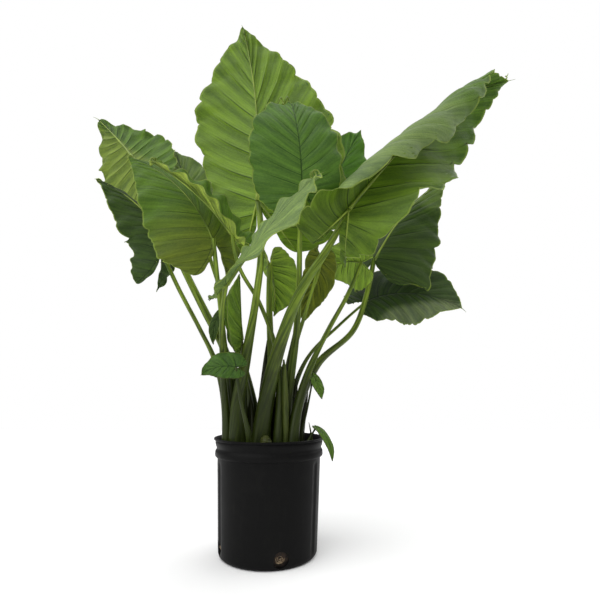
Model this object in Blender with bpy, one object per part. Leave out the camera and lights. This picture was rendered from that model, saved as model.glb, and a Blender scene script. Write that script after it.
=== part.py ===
"""A potted alocasia: a nursery pot of black plastic, filled with soil, and a clump of leafy
stems. Each stem stands in its own hole in the soil and carries one blade, a long heart with
two lobes behind the stem's tip, two halves that fold and droop, and a waved edge.

Metres, +Z up. The origin is the middle of the pot's flat base, and +X runs to the right of
the side on which most blades face out, which is -Y. The leaf table is in centimetres.
"""
import math
import random

import bpy
import numpy as np

CM = 0.01

# Pot: a common ten-inch nursery container
RIM_RADIUS = 0.125
POT_HEIGHT = 0.242
BODY_TOP_RADIUS = 0.1155
BASE_RADIUS = 0.107
BASE_CORNER = 0.010
WALL = 0.0024
FLOOR = 0.0035
BAND_HEIGHT = 0.046
POT_SIDES = 40
FLUTE_STEPS = (7, 10, 13, 27, 30, 33)
FLUTE_DEPTH = 0.0022
DRAIN_FIRST_ANGLE = -72.0
DRAIN_COUNT = 4
DRAIN_RADIUS = 0.0155
DRAIN_HEIGHT = 0.0200

# Soil
SOIL_TOP = 0.222
SOIL_RELIEF = 0.003
SOIL_RINGS = 5
SOIL_SIDES = 24
GAP = 0.0004
HOLE_PLAY = 0.0010
HOLE_SIDES = 8
STEM_DEPTH = 0.026

# Blades and stems
BLADE_THICKNESS = 0.0014
RIB_REACH = 0.86
STEM_STEP = 0.050
FOLD_PLACES = (-1, 0.4, 1)

# Colours, linear
POT_BLACK = (0.012, 0.012, 0.012, 1.0)
SOIL_BROWN = (0.022, 0.014, 0.009, 1.0)
CORM_YELLOW = (0.17, 0.19, 0.04, 1.0)
LEAF_GREEN = (0.075, 0.135, 0.028, 1.0)
LEAF_PALE = (0.15, 0.22, 0.06, 1.0)
LEAF_DARK = (0.030, 0.062, 0.016, 1.0)

# Half outline of a blade, from the tip to the end of a lobe. Each row is the place on the
# midrib (below 0, on the lobe's own rib), then the edge point that its vein runs to: across,
# as a part of the half width, for a blade widest at its base and for one widest at mid
# length, and along, as a part of the blade's length (below 0, of the lobe's).
OUTLINE = (
    (0.90, 0.09, 0.14, 0.945),
    (0.75, 0.32, 0.46, 0.83),
    (0.60, 0.55, 0.74, 0.71),
    (0.45, 0.74, 0.93, 0.58),
    (0.30, 0.89, 1.00, 0.44),
    (0.15, 0.97, 0.97, 0.29),
    (0.00, 1.00, 0.88, 0.13),
    (-0.30, 0.95, 0.74, -0.25),
    (-0.60, 0.80, 0.58, -0.66),
    (-0.85, 0.58, 0.42, -0.93),
)
SINUS = 0.07
LOBE_INNER_BULGE = 0.10


def table():
    """The leaves. Lengths in centimetres, angles in degrees.

    stem: where it stands on the soil, then points up to the blade
    rib: points along the midrib, the last at the tip
    face: the way the upper side looks at the stem's tip, then at the blade's tip
    width: half widths, left and right, seen from the upper side with the tip away
    belly: 0 for a half widest at its base, 1 for one widest at mid length
    splay: how far the lobe's rib turns outward; belly and splay may be one value or two
    left and right: fold, then droop, of that half, with a value for each of the places
    places: parts of the blade's length (below 0, of the lobe's), if not FOLD_PLACES
    """
    return [
        dict(name="leaf_back_tall", colour=LEAF_PALE, size="large",
             stem=[(-6.8, -6.2), (-6.7, -6.6, 32), (-5.0, -8.0, 41.3), (-2.8, -9.5, 54.6),
                   (-2.1, -7.5, 65.2), (-3.3, -5.5, 79.7)],
             rib=[(-3.8, -4.0, 97), (-5.5, -2.0, 115), (-9.5, 0.5, 136.5)],
             face=[(0.0, 1.0, -0.1), (0.0, 1.0, -0.1)],
             width=(21, 17.5), lobe=13, lift=10, belly=(-0.3, 1.5), splay=0.42,
             left=[(0, 0, 0), (0, 10, 20)], right=[(30, 32, 15), (10, 15, 10)],
             ruffle=0.55, waves=5, radius=(0.9, 0.75)),
        dict(name="leaf_centre", colour=LEAF_GREEN, size="large",
             stem=[(3.9, -2.6), (4.6, -2.2, 34), (6.2, -3.5, 48), (6.8, -8.0, 60),
                   (7.0, -12.5, 69), (7.5, -15.5, 78.5)],
             rib=[(7.0, -17.5, 87), (5.6, -16.0, 97), (4.8, -10.5, 103)],
             face=[(0.1, -1.0, 0.1), (0.0, -0.3, 1.0)],
             width=(11.5, 9.5), lobe=6, lift=-10, belly=0.4, splay=0.42,
             left=[(0, 5, 5), (20, 20, 10)], right=[(0, 5, 5), (20, 25, 10)],
             ruffle=0.35, waves=5, radius=(1.1, 0.45)),
        dict(name="leaf_centre_tip", colour=LEAF_GREEN, size="medium",
             stem=[(1.4, 5.0), (4.0, 5.6, 40), (9.0, 5.0, 62), (15.0, 3.0, 84)],
             rib=[(19.0, 4.0, 96), (24.3, 6.0, 107)],
             face=[(0.3, -1.0, 0.3), (0.3, -1.0, 0.3)],
             width=(8, 8), lobe=6, lift=0, belly=0.5, splay=0.42,
             left=[(0, 0, 0), (20, 20, 10)], right=[(0, 0, 0), (20, 30, 10)],
             ruffle=0.4, waves=4, radius=(0.7, 0.35)),
        dict(name="leaf_front_long", colour=LEAF_PALE, size="large",
             stem=[(-8.9, -5.4), (-9.8, -8.0, 38), (-9.6, -13, 46.5), (-7.4, -21.5, 54.8)],
             rib=[(-2.5, -25.5, 60), (4.0, -26, 68.5), (11.2, -24, 77)],
             face=[(-0.6, -0.6, 0.5), (-0.5, -0.5, 0.75)],
             width=(6.0, 6.6), lobe=4.6, lift=20, belly=(0.8, 2.1), splay=(0.42, 1.0),
             places=(-1, 0, 0.5, 1),
             left=[(0, 0, 5, 5), (15, 15, 15, 10)], right=[(20, 35, 10, 10), (10, 10, 30, 10)],
             ruffle=0.5, waves=5, radius=(0.6, 0.45)),
        dict(name="leaf_folded_small", colour=LEAF_GREEN, size="small",
             stem=[(-5.3, -3.6), (-5.6, -4.2, 38), (-5.9, -8.0, 45.4)],
             rib=[(-6.2, -9.5, 52), (-6.6, -10, 60)],
             face=[(-1.0, -0.35, 0.0), (-1.0, -0.35, 0.0)],
             width=(4.0, 4.0), lobe=3, lift=0, belly=0.7, splay=0.42,
             left=[(50, 62, 60), (10, 10, 0)], right=[(50, 62, 60), (10, 10, 0)],
             ruffle=0.1, waves=3, radius=(0.5, 0.3)),
        dict(name="leaf_low_small", colour=LEAF_GREEN, size="small",
             stem=[(-3.6, -8.6), (-5.4, -11.6, 33), (-6.3, -12.8, 39.2)],
             rib=[(-9.8, -13.4, 39.2), (-13.2, -13.6, 37.6)],
             face=[(-0.1, -0.95, 0.35), (-0.1, -0.95, 0.35)],
             width=(2.6, 3.4), lobe=2.2, lift=0, belly=0.4, splay=0.42,
             left=[(-10, 0, 0), (10, 10, 0)], right=[(0, 0, 0), (10, 10, 0)],
             ruffle=0.25, waves=3, radius=(0.42, 0.3)),
        dict(name="leaf_hanging_green", colour=LEAF_GREEN, size="medium",
             stem=[(0.3, 0.8), (0.0, 0.4, 44), (-0.5, -0.5, 56), (-0.4, -0.6, 65)],
             rib=[(0.3, 1.6, 62), (0.6, 1.6, 52.5)],
             face=[(0.1, 1.0, 0.3), (0.1, 1.0, 0.0)],
             width=(4.5, 6.5), lobe=4.5, lift=0, belly=0.4, splay=0.42,
             left=[(60, 70, 60), (20, 20, 0)], right=[(0, 0, 0), (10, 10, 0)],
             ruffle=0.25, waves=4, radius=(1.0, 0.7)),
        dict(name="leaf_hanging_olive", colour=LEAF_GREEN, size="medium",
             stem=[(3.2, 2.6), (5.6, 2.2, 44), (8.6, 1.0, 54), (12.2, -0.6, 66)],
             rib=[(11.4, 2.6, 62), (9.2, 3.6, 57), (7.8, 3.4, 51)],
             face=[(0.2, 1.0, 0.3), (0.2, 1.0, 0.0)],
             width=(4.0, 4.5), lobe=4, lift=0, belly=0.3, splay=0.42,
             left=[(0, 0, 0), (20, 20, 0)], right=[(0, 0, 0), (20, 20, 0)],
             ruffle=0.25, waves=4, radius=(0.6, 0.4)),
        dict(name="leaf_under_right", colour=LEAF_PALE, size="medium",
             stem=[(5.5, -4.9), (8.4, -3.4, 37), (14.0, -1.0, 49), (18.2, -0.4, 56.5),
                   (22.4, 0.0, 66)],
             rib=[(18.3, 2.6, 66.7), (12.5, 7.0, 63.8)],
             face=[(0.0, 0.7, 0.6), (0.0, 0.7, 0.6)],
             width=(6.5, 8.0), lobe=3.5, lift=-10, belly=0.3, splay=0.42,
             left=[(0, 0, 0), (25, 25, 0)], right=[(0, 0, 0), (25, 25, 0)],
             ruffle=0.3, waves=4, radius=(0.75, 0.45)),
        dict(name="leaf_right_long", colour=LEAF_PALE, size="large",
             stem=[(-1.6, -4.4), (-0.4, -5.0, 33), (2.6, -8.0, 44.5), (7.2, -10.5, 56),
                   (13.4, -11.5, 66), (18.2, -11, 75)],
             rib=[(25, -6.5, 85), (41, 3.5, 106), (58, 13, 124), (75.5, 19, 134)],
             face=[(-0.35, 0.9, -0.1), (-0.5, 0.4, 0.75), (-0.4, 0.5, 0.75)],
             width=(15.2, 14.8), lobe=16, lift=-15, belly=(1.3, 1.2), splay=(0.8, 0.2),
             places=(-1, -0.6, -0.05, 0.15, 1),
             left=[(-5, -5, -28, -35, -40), (15, 15, 20, 30, 0)],
             right=[(0, 5, 16, 18, 10), (20, 80, 215, 225, 170)],
             ruffle=0.8, waves=5, radius=(2.2, 0.6)),
        dict(name="leaf_right_dark", colour=LEAF_DARK, size="large",
             stem=[(5.2, 0.6), (11.0, 1.6, 40.5), (20.7, 5.0, 49.8), (24.8, 7.5, 60.2),
                   (26.9, 7.5, 69.3)],
             rib=[(33.2, 11, 79.3), (44.4, 17, 92.6), (54.5, 19, 101)],
             face=[(-0.45, -0.2, 0.85), (-0.4, 0.1, 0.9)],
             width=(10, 14.5), lobe=8.5, lift=-35, belly=-0.8, splay=0.5,
             left=[(0, 10, 10), (20, 20, 10)], right=[(-55, -55, -52), (30, 40, 60)],
             ruffle=0.45, waves=5, radius=(0.95, 0.65)),
        dict(name="leaf_right_low", colour=LEAF_DARK, size="large",
             stem=[(4.0, 5.0), (8.6, 5.2, 42), (17.4, 9.0, 51.4), (25.6, 12.0, 58.7)],
             rib=[(33.3, 13.0, 60.9), (41.5, 12.0, 60.3), (50.3, 9.5, 56.0)],
             face=[(-0.1, -0.6, 0.8), (0.2, -0.75, 0.65)],
             width=(12.5, 10.4), lobe=4.5, lift=-10, belly=1.0, splay=0.42,
             left=[(0, 15, 25), (15, 10, 0)], right=[(-10, -15, -15), (20, 20, 10)],
             ruffle=0.35, waves=5, radius=(0.5, 0.35)),
        dict(name="leaf_left_far", colour=LEAF_GREEN, size="large",
             stem=[(-7.0, 0.4), (-11.4, -0.6, 45), (-15.6, -0.4, 52.5), (-22.6, 0.5, 65.4),
                   (-30, 2.5, 80), (-38.2, 5.0, 96.6)],
             rib=[(-46, 8.5, 106), (-54.2, 12.5, 115)],
             face=[(0.5, 0.8, 0.3), (0.5, 0.8, 0.3)],
             width=(11, 13.5), lobe=12, lift=0, belly=0.1, splay=0.42,
             left=[(30, 70, 70), (10, 20, 10)], right=[(0, 0, 0), (10, 10, 0)],
             ruffle=0.5, waves=5, radius=(1.2, 0.7)),
        dict(name="leaf_left_front", colour=LEAF_GREEN, size="large",
             stem=[(-7.6, -3.0), (-9.6, -7.0, 43), (-10.9, -11.0, 56), (-12.0, -14, 67)],
             rib=[(-18, -15.5, 76.5), (-25.5, -15.5, 83), (-32.5, -14, 86.5)],
             face=[(0.35, -0.45, 0.8), (0.35, -0.45, 0.8)],
             width=(12, 8), lobe=9, lift=-40, belly=-0.1, splay=0.42,
             left=[(-40, -42, -40), (20, 25, 10)], right=[(10, 10, 10), (10, 10, 0)],
             ruffle=0.45, waves=5, radius=(0.65, 0.5)),
        dict(name="leaf_left_low", colour=LEAF_DARK, size="large",
             stem=[(-9.4, -2.2), (-12.6, -5.0, 42), (-15.6, -6.5, 48), (-21, -8.5, 58),
                   (-24.6, -9.5, 65.5)],
             rib=[(-25.5, -10.5, 71), (-29.5, -11, 75.5), (-40.4, -11.5, 82.5)],
             face=[(0.3, -0.3, 0.85), (0.3, -0.3, 0.85)],
             width=(8, 5), lobe=10, lift=-30, belly=0.0, splay=0.5,
             left=[(-60, -62, -45), (30, 30, 10)], right=[(-10, 0, 0), (10, 10, 0)],
             ruffle=0.5, waves=5, radius=(0.65, 0.45)),
        dict(name="leaf_left_narrow", colour=LEAF_GREEN, size="large",
             stem=[(2.3, -5.2), (2.4, -4.4, 36), (1.4, -4.6, 44), (-2.2, -6.5, 53.9),
                   (-6.6, -12.0, 61.6), (-7.8, -14.5, 67.9)],
             rib=[(-13.2, -19, 73.4), (-18.5, -21, 77.6), (-24.6, -21, 81.6)],
             face=[(0.4, -0.6, 0.6), (0.4, -0.6, 0.6)],
             width=(2.0, 4.8), lobe=6, lift=30, belly=(0.5, 0.0), splay=(0.6, 0.42),
             places=(-1, 0, 0.4, 1),
             left=[(20, 60, 95, 60), (10, 10, 10, 10)], right=[(20, 30, 30, 0), (20, 20, 20, 10)],
             ruffle=0.4, waves=5, radius=(0.65, 0.4)),
        dict(name="leaf_left_grey", colour=LEAF_GREEN, size="large",
             stem=[(-3.6, 3.4), (-8.5, 5.5, 45), (-16, 7.0, 66), (-22, 7.5, 82)],
             rib=[(-25.5, 9.0, 92), (-30, 12, 104)],
             face=[(0.2, -0.9, 0.4), (0.2, -0.9, 0.4)],
             width=(12, 12), lobe=7, lift=-10, belly=0.4, splay=0.42,
             left=[(0, 0, 0), (20, 20, 10)], right=[(0, 0, 0), (20, 20, 10)],
             ruffle=0.5, waves=5, radius=(0.8, 0.45)),
        dict(name="leaf_bud_left", colour=LEAF_DARK, size="small",
             stem=[(-8.6, 1.8), (-10.2, -1.9, 36), (-11.4, -3.0, 45), (-12.0, -3.6, 52)],
             rib=[(-12.9, -3.4, 49.8), (-13.2, -3.0, 45)],
             face=[(-0.4, -0.9, 0.1), (-0.4, -0.9, 0.1)],
             width=(1.5, 1.5), lobe=1.4, lift=0, belly=0.6, splay=0.42,
             left=[(0, 10, 0), (20, 20, 0)], right=[(0, 10, 0), (20, 20, 0)],
             ruffle=0.1, waves=2, radius=(0.4, 0.22)),
        dict(name="leaf_bud_right", colour=LEAF_GREEN, size="small",
             stem=[(7.0, -1.0), (8.8, -0.2, 31), (10.1, -1.6, 37.8)],
             rib=[(11.0, -2.6, 36), (12.0, -3.0, 32.6)],
             face=[(0.5, -0.8, 0.3), (0.5, -0.8, 0.2)],
             width=(1.5, 1.5), lobe=1.2, lift=0, belly=0.6, splay=0.42,
             left=[(0, 10, 0), (20, 20, 0)], right=[(0, 10, 0), (20, 20, 0)],
             ruffle=0.1, waves=2, radius=(0.32, 0.2)),
        dict(name="sprout_over_rim", colour=LEAF_GREEN, size="small",
             stem=[(8.6, -4.6), (9.4, -4.6, 24.6), (10.6, -4.8, 26.6)],
             rib=[(12.6, -6.6, 24.6), (13.8, -8.0, 20.0)],
             face=[(0.5, -0.6, 0.6), (0.6, -0.7, 0.3)],
             width=(1.1, 1.1), lobe=0.8, lift=0, belly=1.0, splay=0.42,
             left=[(0, 5, 0), (20, 20, 0)], right=[(0, 5, 0), (20, 20, 0)],
             ruffle=0.05, waves=2, radius=(0.26, 0.2)),
    ]


# Short plain growths that stand in the soil: places up the growth and the radius at each,
# in centimetres
GROWTHS = {
    "corm": (((-0.2, -8.6, 19.6), 1.15), ((-0.2, -8.6, 22.6), 1.25), ((-0.2, -8.6, 23.7), 1.35),
             ((-0.2, -8.6, 24.7), 1.0), ((-0.2, -8.6, 25.2), 0.35)),
    "sprout_upright": (((9.7, -1.4, 19.6), 0.28), ((9.7, -1.4, 22.6), 0.28),
                       ((9.5, -1.5, 24.8), 0.24), ((9.0, -1.7, 27.4), 0.05)),
    "crown": (((-3.4, -0.2, 19.6), 1.8), ((-3.4, -0.2, 22.6), 1.8), ((-3.4, -0.2, 27.0), 2.0),
              ((-3.6, -0.3, 32.0), 1.7), ((-4.4, -0.6, 37.0), 0.9), ((-5.3, -0.9, 40.5), 0.15)),
    "bract_front": (((3.9, -5.7, 19.6), 0.6), ((3.9, -5.7, 24.0), 0.6), ((3.8, -5.6, 32.0), 0.7),
                    ((3.5, -5.4, 39.0), 0.5), ((3.3, -5.3, 41.3), 0.15)),
}
GROWTH_COLOURS = {
    "corm": CORM_YELLOW,
    "sprout_upright": LEAF_GREEN,
    "crown": LEAF_DARK,
    "bract_front": LEAF_PALE,
}


def clear_scene():
    for item in list(bpy.data.objects):
        bpy.data.objects.remove(item)


def material(name, colour, roughness):
    made = bpy.data.materials.new(name)
    made.use_nodes = True
    shader = made.node_tree.nodes["Principled BSDF"]
    shader.inputs["Base Color"].default_value = colour
    shader.inputs["Roughness"].default_value = roughness
    shader.inputs["Metallic"].default_value = 0.0
    made.diffuse_color = colour
    return made


def add_object(name, points, faces, finish=None, smooth_angle=40.0):
    mesh = bpy.data.meshes.new(name)
    mesh.from_pydata([tuple(map(float, p)) for p in points], [], [tuple(f) for f in faces])
    mesh.validate()
    made = bpy.data.objects.new(name, mesh)
    bpy.context.scene.collection.objects.link(made)
    if finish:
        mesh.materials.append(finish)
    mesh.shade_smooth()
    mesh.set_sharp_from_angle(angle=math.radians(smooth_angle))
    return made


def boolean(target, others, operation, solver="EXACT"):
    """Joins or cuts a target with other objects, keeps the result and drops the others."""
    helpers = bpy.data.collections.new(target.name + "_helpers")
    for other in others:
        for home in list(other.users_collection):
            home.objects.unlink(other)
        helpers.objects.link(other)
    bpy.context.scene.collection.children.link(helpers)
    change = target.modifiers.new("join", "BOOLEAN")
    change.operation = operation
    change.operand_type = "COLLECTION"
    change.collection = helpers
    change.solver = solver
    graph = bpy.context.evaluated_depsgraph_get()
    result = bpy.data.meshes.new_from_object(target.evaluated_get(graph))
    target.modifiers.clear()
    old = target.data
    target.data = result
    bpy.data.meshes.remove(old)
    for other in others:
        bpy.data.objects.remove(other)
    bpy.data.collections.remove(helpers)


def unit(v):
    return v / np.linalg.norm(v)


def smooth_path(points, first_direction, count):
    """Points of a smooth curve through the given ones, evenly spread along it."""
    points = np.asarray(points, float)
    gaps = np.linalg.norm(np.diff(points, axis=0), axis=1)
    tangents = np.zeros_like(points)
    for i in range(1, len(points) - 1):
        before = (points[i] - points[i - 1]) / gaps[i - 1]
        after = (points[i + 1] - points[i]) / gaps[i]
        tangents[i] = unit(before * gaps[i] + after * gaps[i - 1])
    if first_direction is None:
        chord = unit(points[1] - points[0])
        first_direction = unit(2 * chord - tangents[1]) if len(points) > 2 else chord
    tangents[0] = first_direction
    chord = unit(points[-1] - points[-2])
    tangents[-1] = unit(2 * chord - tangents[-2]) if len(points) > 2 else chord
    fine = []
    for i, gap in enumerate(gaps):
        for t in np.linspace(0, 1, 24, endpoint=False):
            fine.append((2 * t**3 - 3 * t**2 + 1) * points[i]
                        + (t**3 - 2 * t**2 + t) * gap * tangents[i]
                        + (3 * t**2 - 2 * t**3) * points[i + 1]
                        + (t**3 - t**2) * gap * tangents[i + 1])
    fine.append(points[-1])
    fine = np.array(fine)
    run = np.concatenate([[0], np.cumsum(np.linalg.norm(np.diff(fine, axis=0), axis=1))])
    wanted = np.linspace(0, run[-1], count)
    return np.stack([np.interp(wanted, run, fine[:, k]) for k in range(3)], 1), run[-1]


def directions(path):
    steps = np.gradient(path, axis=0)
    return steps / np.linalg.norm(steps, axis=1)[:, None]


def tube(name, path, radii, sides):
    """A closed round rod along a path."""
    ahead = directions(path)
    side = unit(np.cross(ahead[0], (0.3, 1.0, 0.2)))
    points = []
    for centre, forward, radius in zip(path, ahead, radii):
        side = unit(side - forward * side.dot(forward))
        other = np.cross(forward, side)
        for k in range(sides):
            turn = 2 * math.pi * k / sides
            points.append(centre + radius * (math.cos(turn) * side + math.sin(turn) * other))
    faces = []
    for ring in range(len(path) - 1):
        for k in range(sides):
            a = ring * sides + k
            b = ring * sides + (k + 1) % sides
            faces += [(a, b, b + sides), (a, b + sides, a + sides)]
    last = (len(path) - 1) * sides
    faces.append(tuple(range(sides - 1, -1, -1)))
    faces.append(tuple(range(last, last + sides)))
    return add_object(name, points, faces)


def by_length(values, places, y):
    """A setting along the blade, from its values at the given places."""
    return np.interp(y, places, values)


def pair(value):
    """A setting for the left and the right half, given as one value or as two."""
    left, right = np.broadcast_to(value, 2)
    return {-1: float(left), 1: float(right)}


class Blade:
    """The middle surface of one blade, as a function of flat leaf coordinates."""

    def __init__(self, spec):
        self.spec = spec
        start = np.array(spec["stem"][-1]) * CM
        points = [start] + [np.array(p) * CM for p in spec["rib"]]
        self.rib, self.length = smooth_path(points, None, 61)
        self.ahead = directions(self.rib)
        self.lobe_length = spec["lobe"] * CM
        places = spec.get("places", FOLD_PLACES)
        self.set_at = [p * (self.length if p > 0 else self.lobe_length) for p in places]
        self.belly = pair(spec["belly"])
        self.splay = pair(spec["splay"])
        faces = [np.array(f, float) for f in spec["face"]]
        self.face = faces
        self.random = random.Random(spec["name"])
        self.phase = {side: self.random.uniform(0, 2 * math.pi) for side in (-1, 1)}

    def frame(self, y):
        """Place on the midrib's line and the directions ahead, across and up there."""
        if y >= 0:
            t = min(y / self.length, 1.0) * 60
            low = min(int(t), 59)
            part = t - low
            place = self.rib[low] * (1 - part) + self.rib[low + 1] * part
            ahead = unit(self.ahead[low] * (1 - part) + self.ahead[low + 1] * part)
            at = y / self.length * (len(self.face) - 1)
            first = min(int(at), len(self.face) - 2)
            up = self.face[first] * (first + 1 - at) + self.face[first + 1] * (at - first)
            up = unit(up - ahead * up.dot(ahead))
            return place, ahead, np.cross(ahead, up), up
        place, ahead, across, up = self.frame(0.0)
        bend = math.radians(self.spec["lift"]) / self.lobe_length
        turn = bend * -y
        if abs(turn) < 1e-6:
            return place + ahead * y, ahead, across, up
        back = math.sin(turn) / bend
        rise = (1 - math.cos(turn)) / bend
        place = place - ahead * back + up * rise
        tilted_ahead = ahead * math.cos(turn) - up * math.sin(turn)
        tilted_up = up * math.cos(turn) + ahead * math.sin(turn)
        return place, tilted_ahead, across, tilted_up

    def point(self, side, x, y, edge, wave_place):
        """The surface point x across and y along on one half; edge is 0 at the rib, 1 at the rim."""
        fold, droop = self.spec["right" if side > 0 else "left"]
        width = self.spec["width"][side > 0] * CM
        angle = math.radians(by_length(fold, self.set_at, y))
        bend = math.radians(by_length(droop, self.set_at, y)) / width
        place, ahead, across, up = self.frame(y)
        now = angle - bend * x
        if abs(bend) < 1e-6:
            out = x * math.cos(angle)
            rise = x * math.sin(angle)
        else:
            out = (math.sin(angle) - math.sin(now)) / bend
            rise = (math.cos(now) - math.cos(angle)) / bend
        normal = up * math.cos(now) - side * across * math.sin(now)
        wave = math.sin(2 * math.pi * self.spec["waves"] * wave_place + self.phase[side])
        lift = self.spec["ruffle"] * CM * edge ** 2.5 * wave
        return place + side * across * out + up * rise + normal * lift

    def edge_point(self, side, place):
        """Flat coordinates of the edge point whose vein leaves the rib at the given place."""
        width = self.spec["width"][side > 0] * CM
        rows = OUTLINE[::-1]
        belly = self.belly[side]
        knots = [-1.0] + [row[0] for row in rows] + [1.0]
        across = [self.splay[side] * (1 - 0.35 * belly)]
        across += [row[1] * (1 - belly) + row[2] * belly for row in rows] + [0.0]
        along = [-self.lobe_length]
        along += [row[3] * (self.length if row[3] > 0 else self.lobe_length) for row in rows]
        along += [self.length]
        return np.interp(place, knots, across) * width, np.interp(place, knots, along)

    def rib_point(self, side, place):
        """Flat coordinates of a place on the midrib or, below 0, on the lobe's rib."""
        if place >= 0:
            return 0.0, place * self.length
        width = self.spec["width"][side > 0] * CM
        reach = self.splay[side] * (1 - 0.35 * self.belly[side]) * width
        return -place * reach, place * self.lobe_length


STATIONS = {
    "large": ((-0.75, -0.4), 10, 3),
    "medium": ((-0.65, -0.3), 8, 2),
    "small": ((-0.5,), 6, 2),
}


def blade_mesh(blade, name):
    """The blade as a thin closed sheet with both faces split alike."""
    lobe_places, ahead_count, columns = STATIONS[blade.spec["size"]]
    ahead_places = [k / ahead_count for k in range(ahead_count)]
    points = []
    faces = []

    def add(point):
        points.append(point)
        return len(points) - 1

    middle = [add(blade.frame(p * blade.length)[0]) for p in ahead_places]
    tip = add(blade.frame(blade.length)[0])
    for side in (-1, 1):
        places = list(lobe_places) + ahead_places
        span = len(places) + 1
        ribs = []
        outer = []
        inner = []
        for index, place in enumerate(places):
            rx, ry = blade.rib_point(side, place)
            ex, ey = blade.edge_point(side, place)
            wave_place = (index + 1) / span
            if place < 0:
                ribs.append(add(blade.point(side, rx, ry, 0.0, wave_place)))
                bulge = LOBE_INNER_BULGE * math.sin(math.pi * -place) * blade.lobe_length
                slim = max(rx * (1 + place * -0.1) - bulge - SINUS * rx, 0.12 * rx)
                slim = max(slim, 0.0035)
                inner.append(add(blade.point(side, min(slim, rx * 0.75), ry, 0.0, wave_place)))
            else:
                ribs.append(middle[ahead_places.index(place)])
            column = []
            for c in range(1, columns + 1):
                part = c / columns
                x = rx + (ex - rx) * part
                y = ry + (ey - ry) * part
                column.append(add(blade.point(side, x, y, part, wave_place)))
            outer.append(column)
        lobe_x, lobe_y = blade.rib_point(side, -1.0)
        lobe_end = add(blade.point(side, lobe_x, lobe_y, 0.6, 0.0))
        grid = [[lobe_end] * (columns + 1)]
        grid += [[rib] + column for rib, column in zip(ribs, outer)]
        grid += [[tip] * (columns + 1)]
        patches = [(grid, side)]
        start = middle[0]
        lobe_grid = [[lobe_end, lobe_end]]
        lobe_grid += [[rib, edge] for rib, edge in zip(ribs, inner)]
        lobe_grid += [[start, start]]
        patches.append((lobe_grid, -side))
        for rows, turn in patches:
            for low, high in zip(rows, rows[1:]):
                for c in range(len(low) - 1):
                    loop = (low[c], low[c + 1], high[c + 1], high[c])
                    for a, b, d in ((0, 1, 2), (0, 2, 3)):
                        corner = (loop[a], loop[b], loop[d])
                        if len(set(corner)) == 3:
                            faces.append(corner if turn > 0 else corner[::-1])
    return thicken(name, np.array(points), faces, BLADE_THICKNESS)


def thicken(name, points, faces, thickness):
    normals = np.zeros_like(points)
    for face in faces:
        a, b, c = (points[i] for i in face)
        normal = np.cross(b - a, c - a)
        for i in face:
            normals[i] += normal
    normals /= np.linalg.norm(normals, axis=1)[:, None]
    count = len(points)
    both = np.concatenate([points + normals * thickness / 2, points - normals * thickness / 2])
    solid = list(faces)
    solid += [tuple(i + count for i in reversed(face)) for face in faces]
    borders = {}
    for face in faces:
        for a, b in zip(face, face[1:] + face[:1]):
            if (b, a) in borders:
                del borders[(b, a)]
            else:
                borders[(a, b)] = True
    for a, b in borders:
        solid += [(b, a, a + count), (b, a + count, b + count)]
    return add_object(name, both, solid)


def stem_route(spec):
    """The stem from below the soil's surface up to the blade."""
    x, y = spec["stem"][0]
    foot = np.array((x * CM, y * CM, SOIL_TOP + 0.004))
    points = [foot] + [np.array(p) * CM for p in spec["stem"][1:]]
    length = sum(np.linalg.norm(b - a) for a, b in zip(points, points[1:]))
    count = max(6, round(length / STEM_STEP))
    path, length = smooth_path(points, np.array((0.0, 0.0, 1.0)), count)
    below = foot - np.array((0, 0, STEM_DEPTH + 0.004))
    return np.vstack([below, path])


def build_leaf(spec):
    finish = material(spec["name"], spec["colour"], 0.42)
    blade = Blade(spec)
    leaf = blade_mesh(blade, spec["name"])
    low, high = (r * CM for r in spec["radius"])
    path = stem_route(spec)
    thin = np.linspace(0, 1, len(path) - 1)
    radii = low + (high - low) * thin ** 0.75
    sides = 8 if low > 0.007 else 6
    stem = tube(spec["name"] + "_stem", path, np.concatenate([[low], radii]), sides)
    places = np.linspace(0.0, RIB_REACH, 6)
    rib_radii = np.linspace(0.8 * high, 0.0009, 6)
    rib = []
    for place, radius in zip(places, rib_radii):
        spot, ahead, across, up = blade.frame(place * blade.length)
        rib.append(spot - up * radius * 0.6)
    parts = [stem]
    if spec["size"] != "small":
        parts.append(tube(spec["name"] + "_rib", np.array(rib), rib_radii, 4))
    boolean(leaf, parts, "UNION")
    leaf.data.materials.clear()
    leaf.data.materials.append(finish)
    leaf.data.shade_smooth()
    leaf.data.set_sharp_from_angle(angle=math.radians(50))
    return leaf


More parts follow.
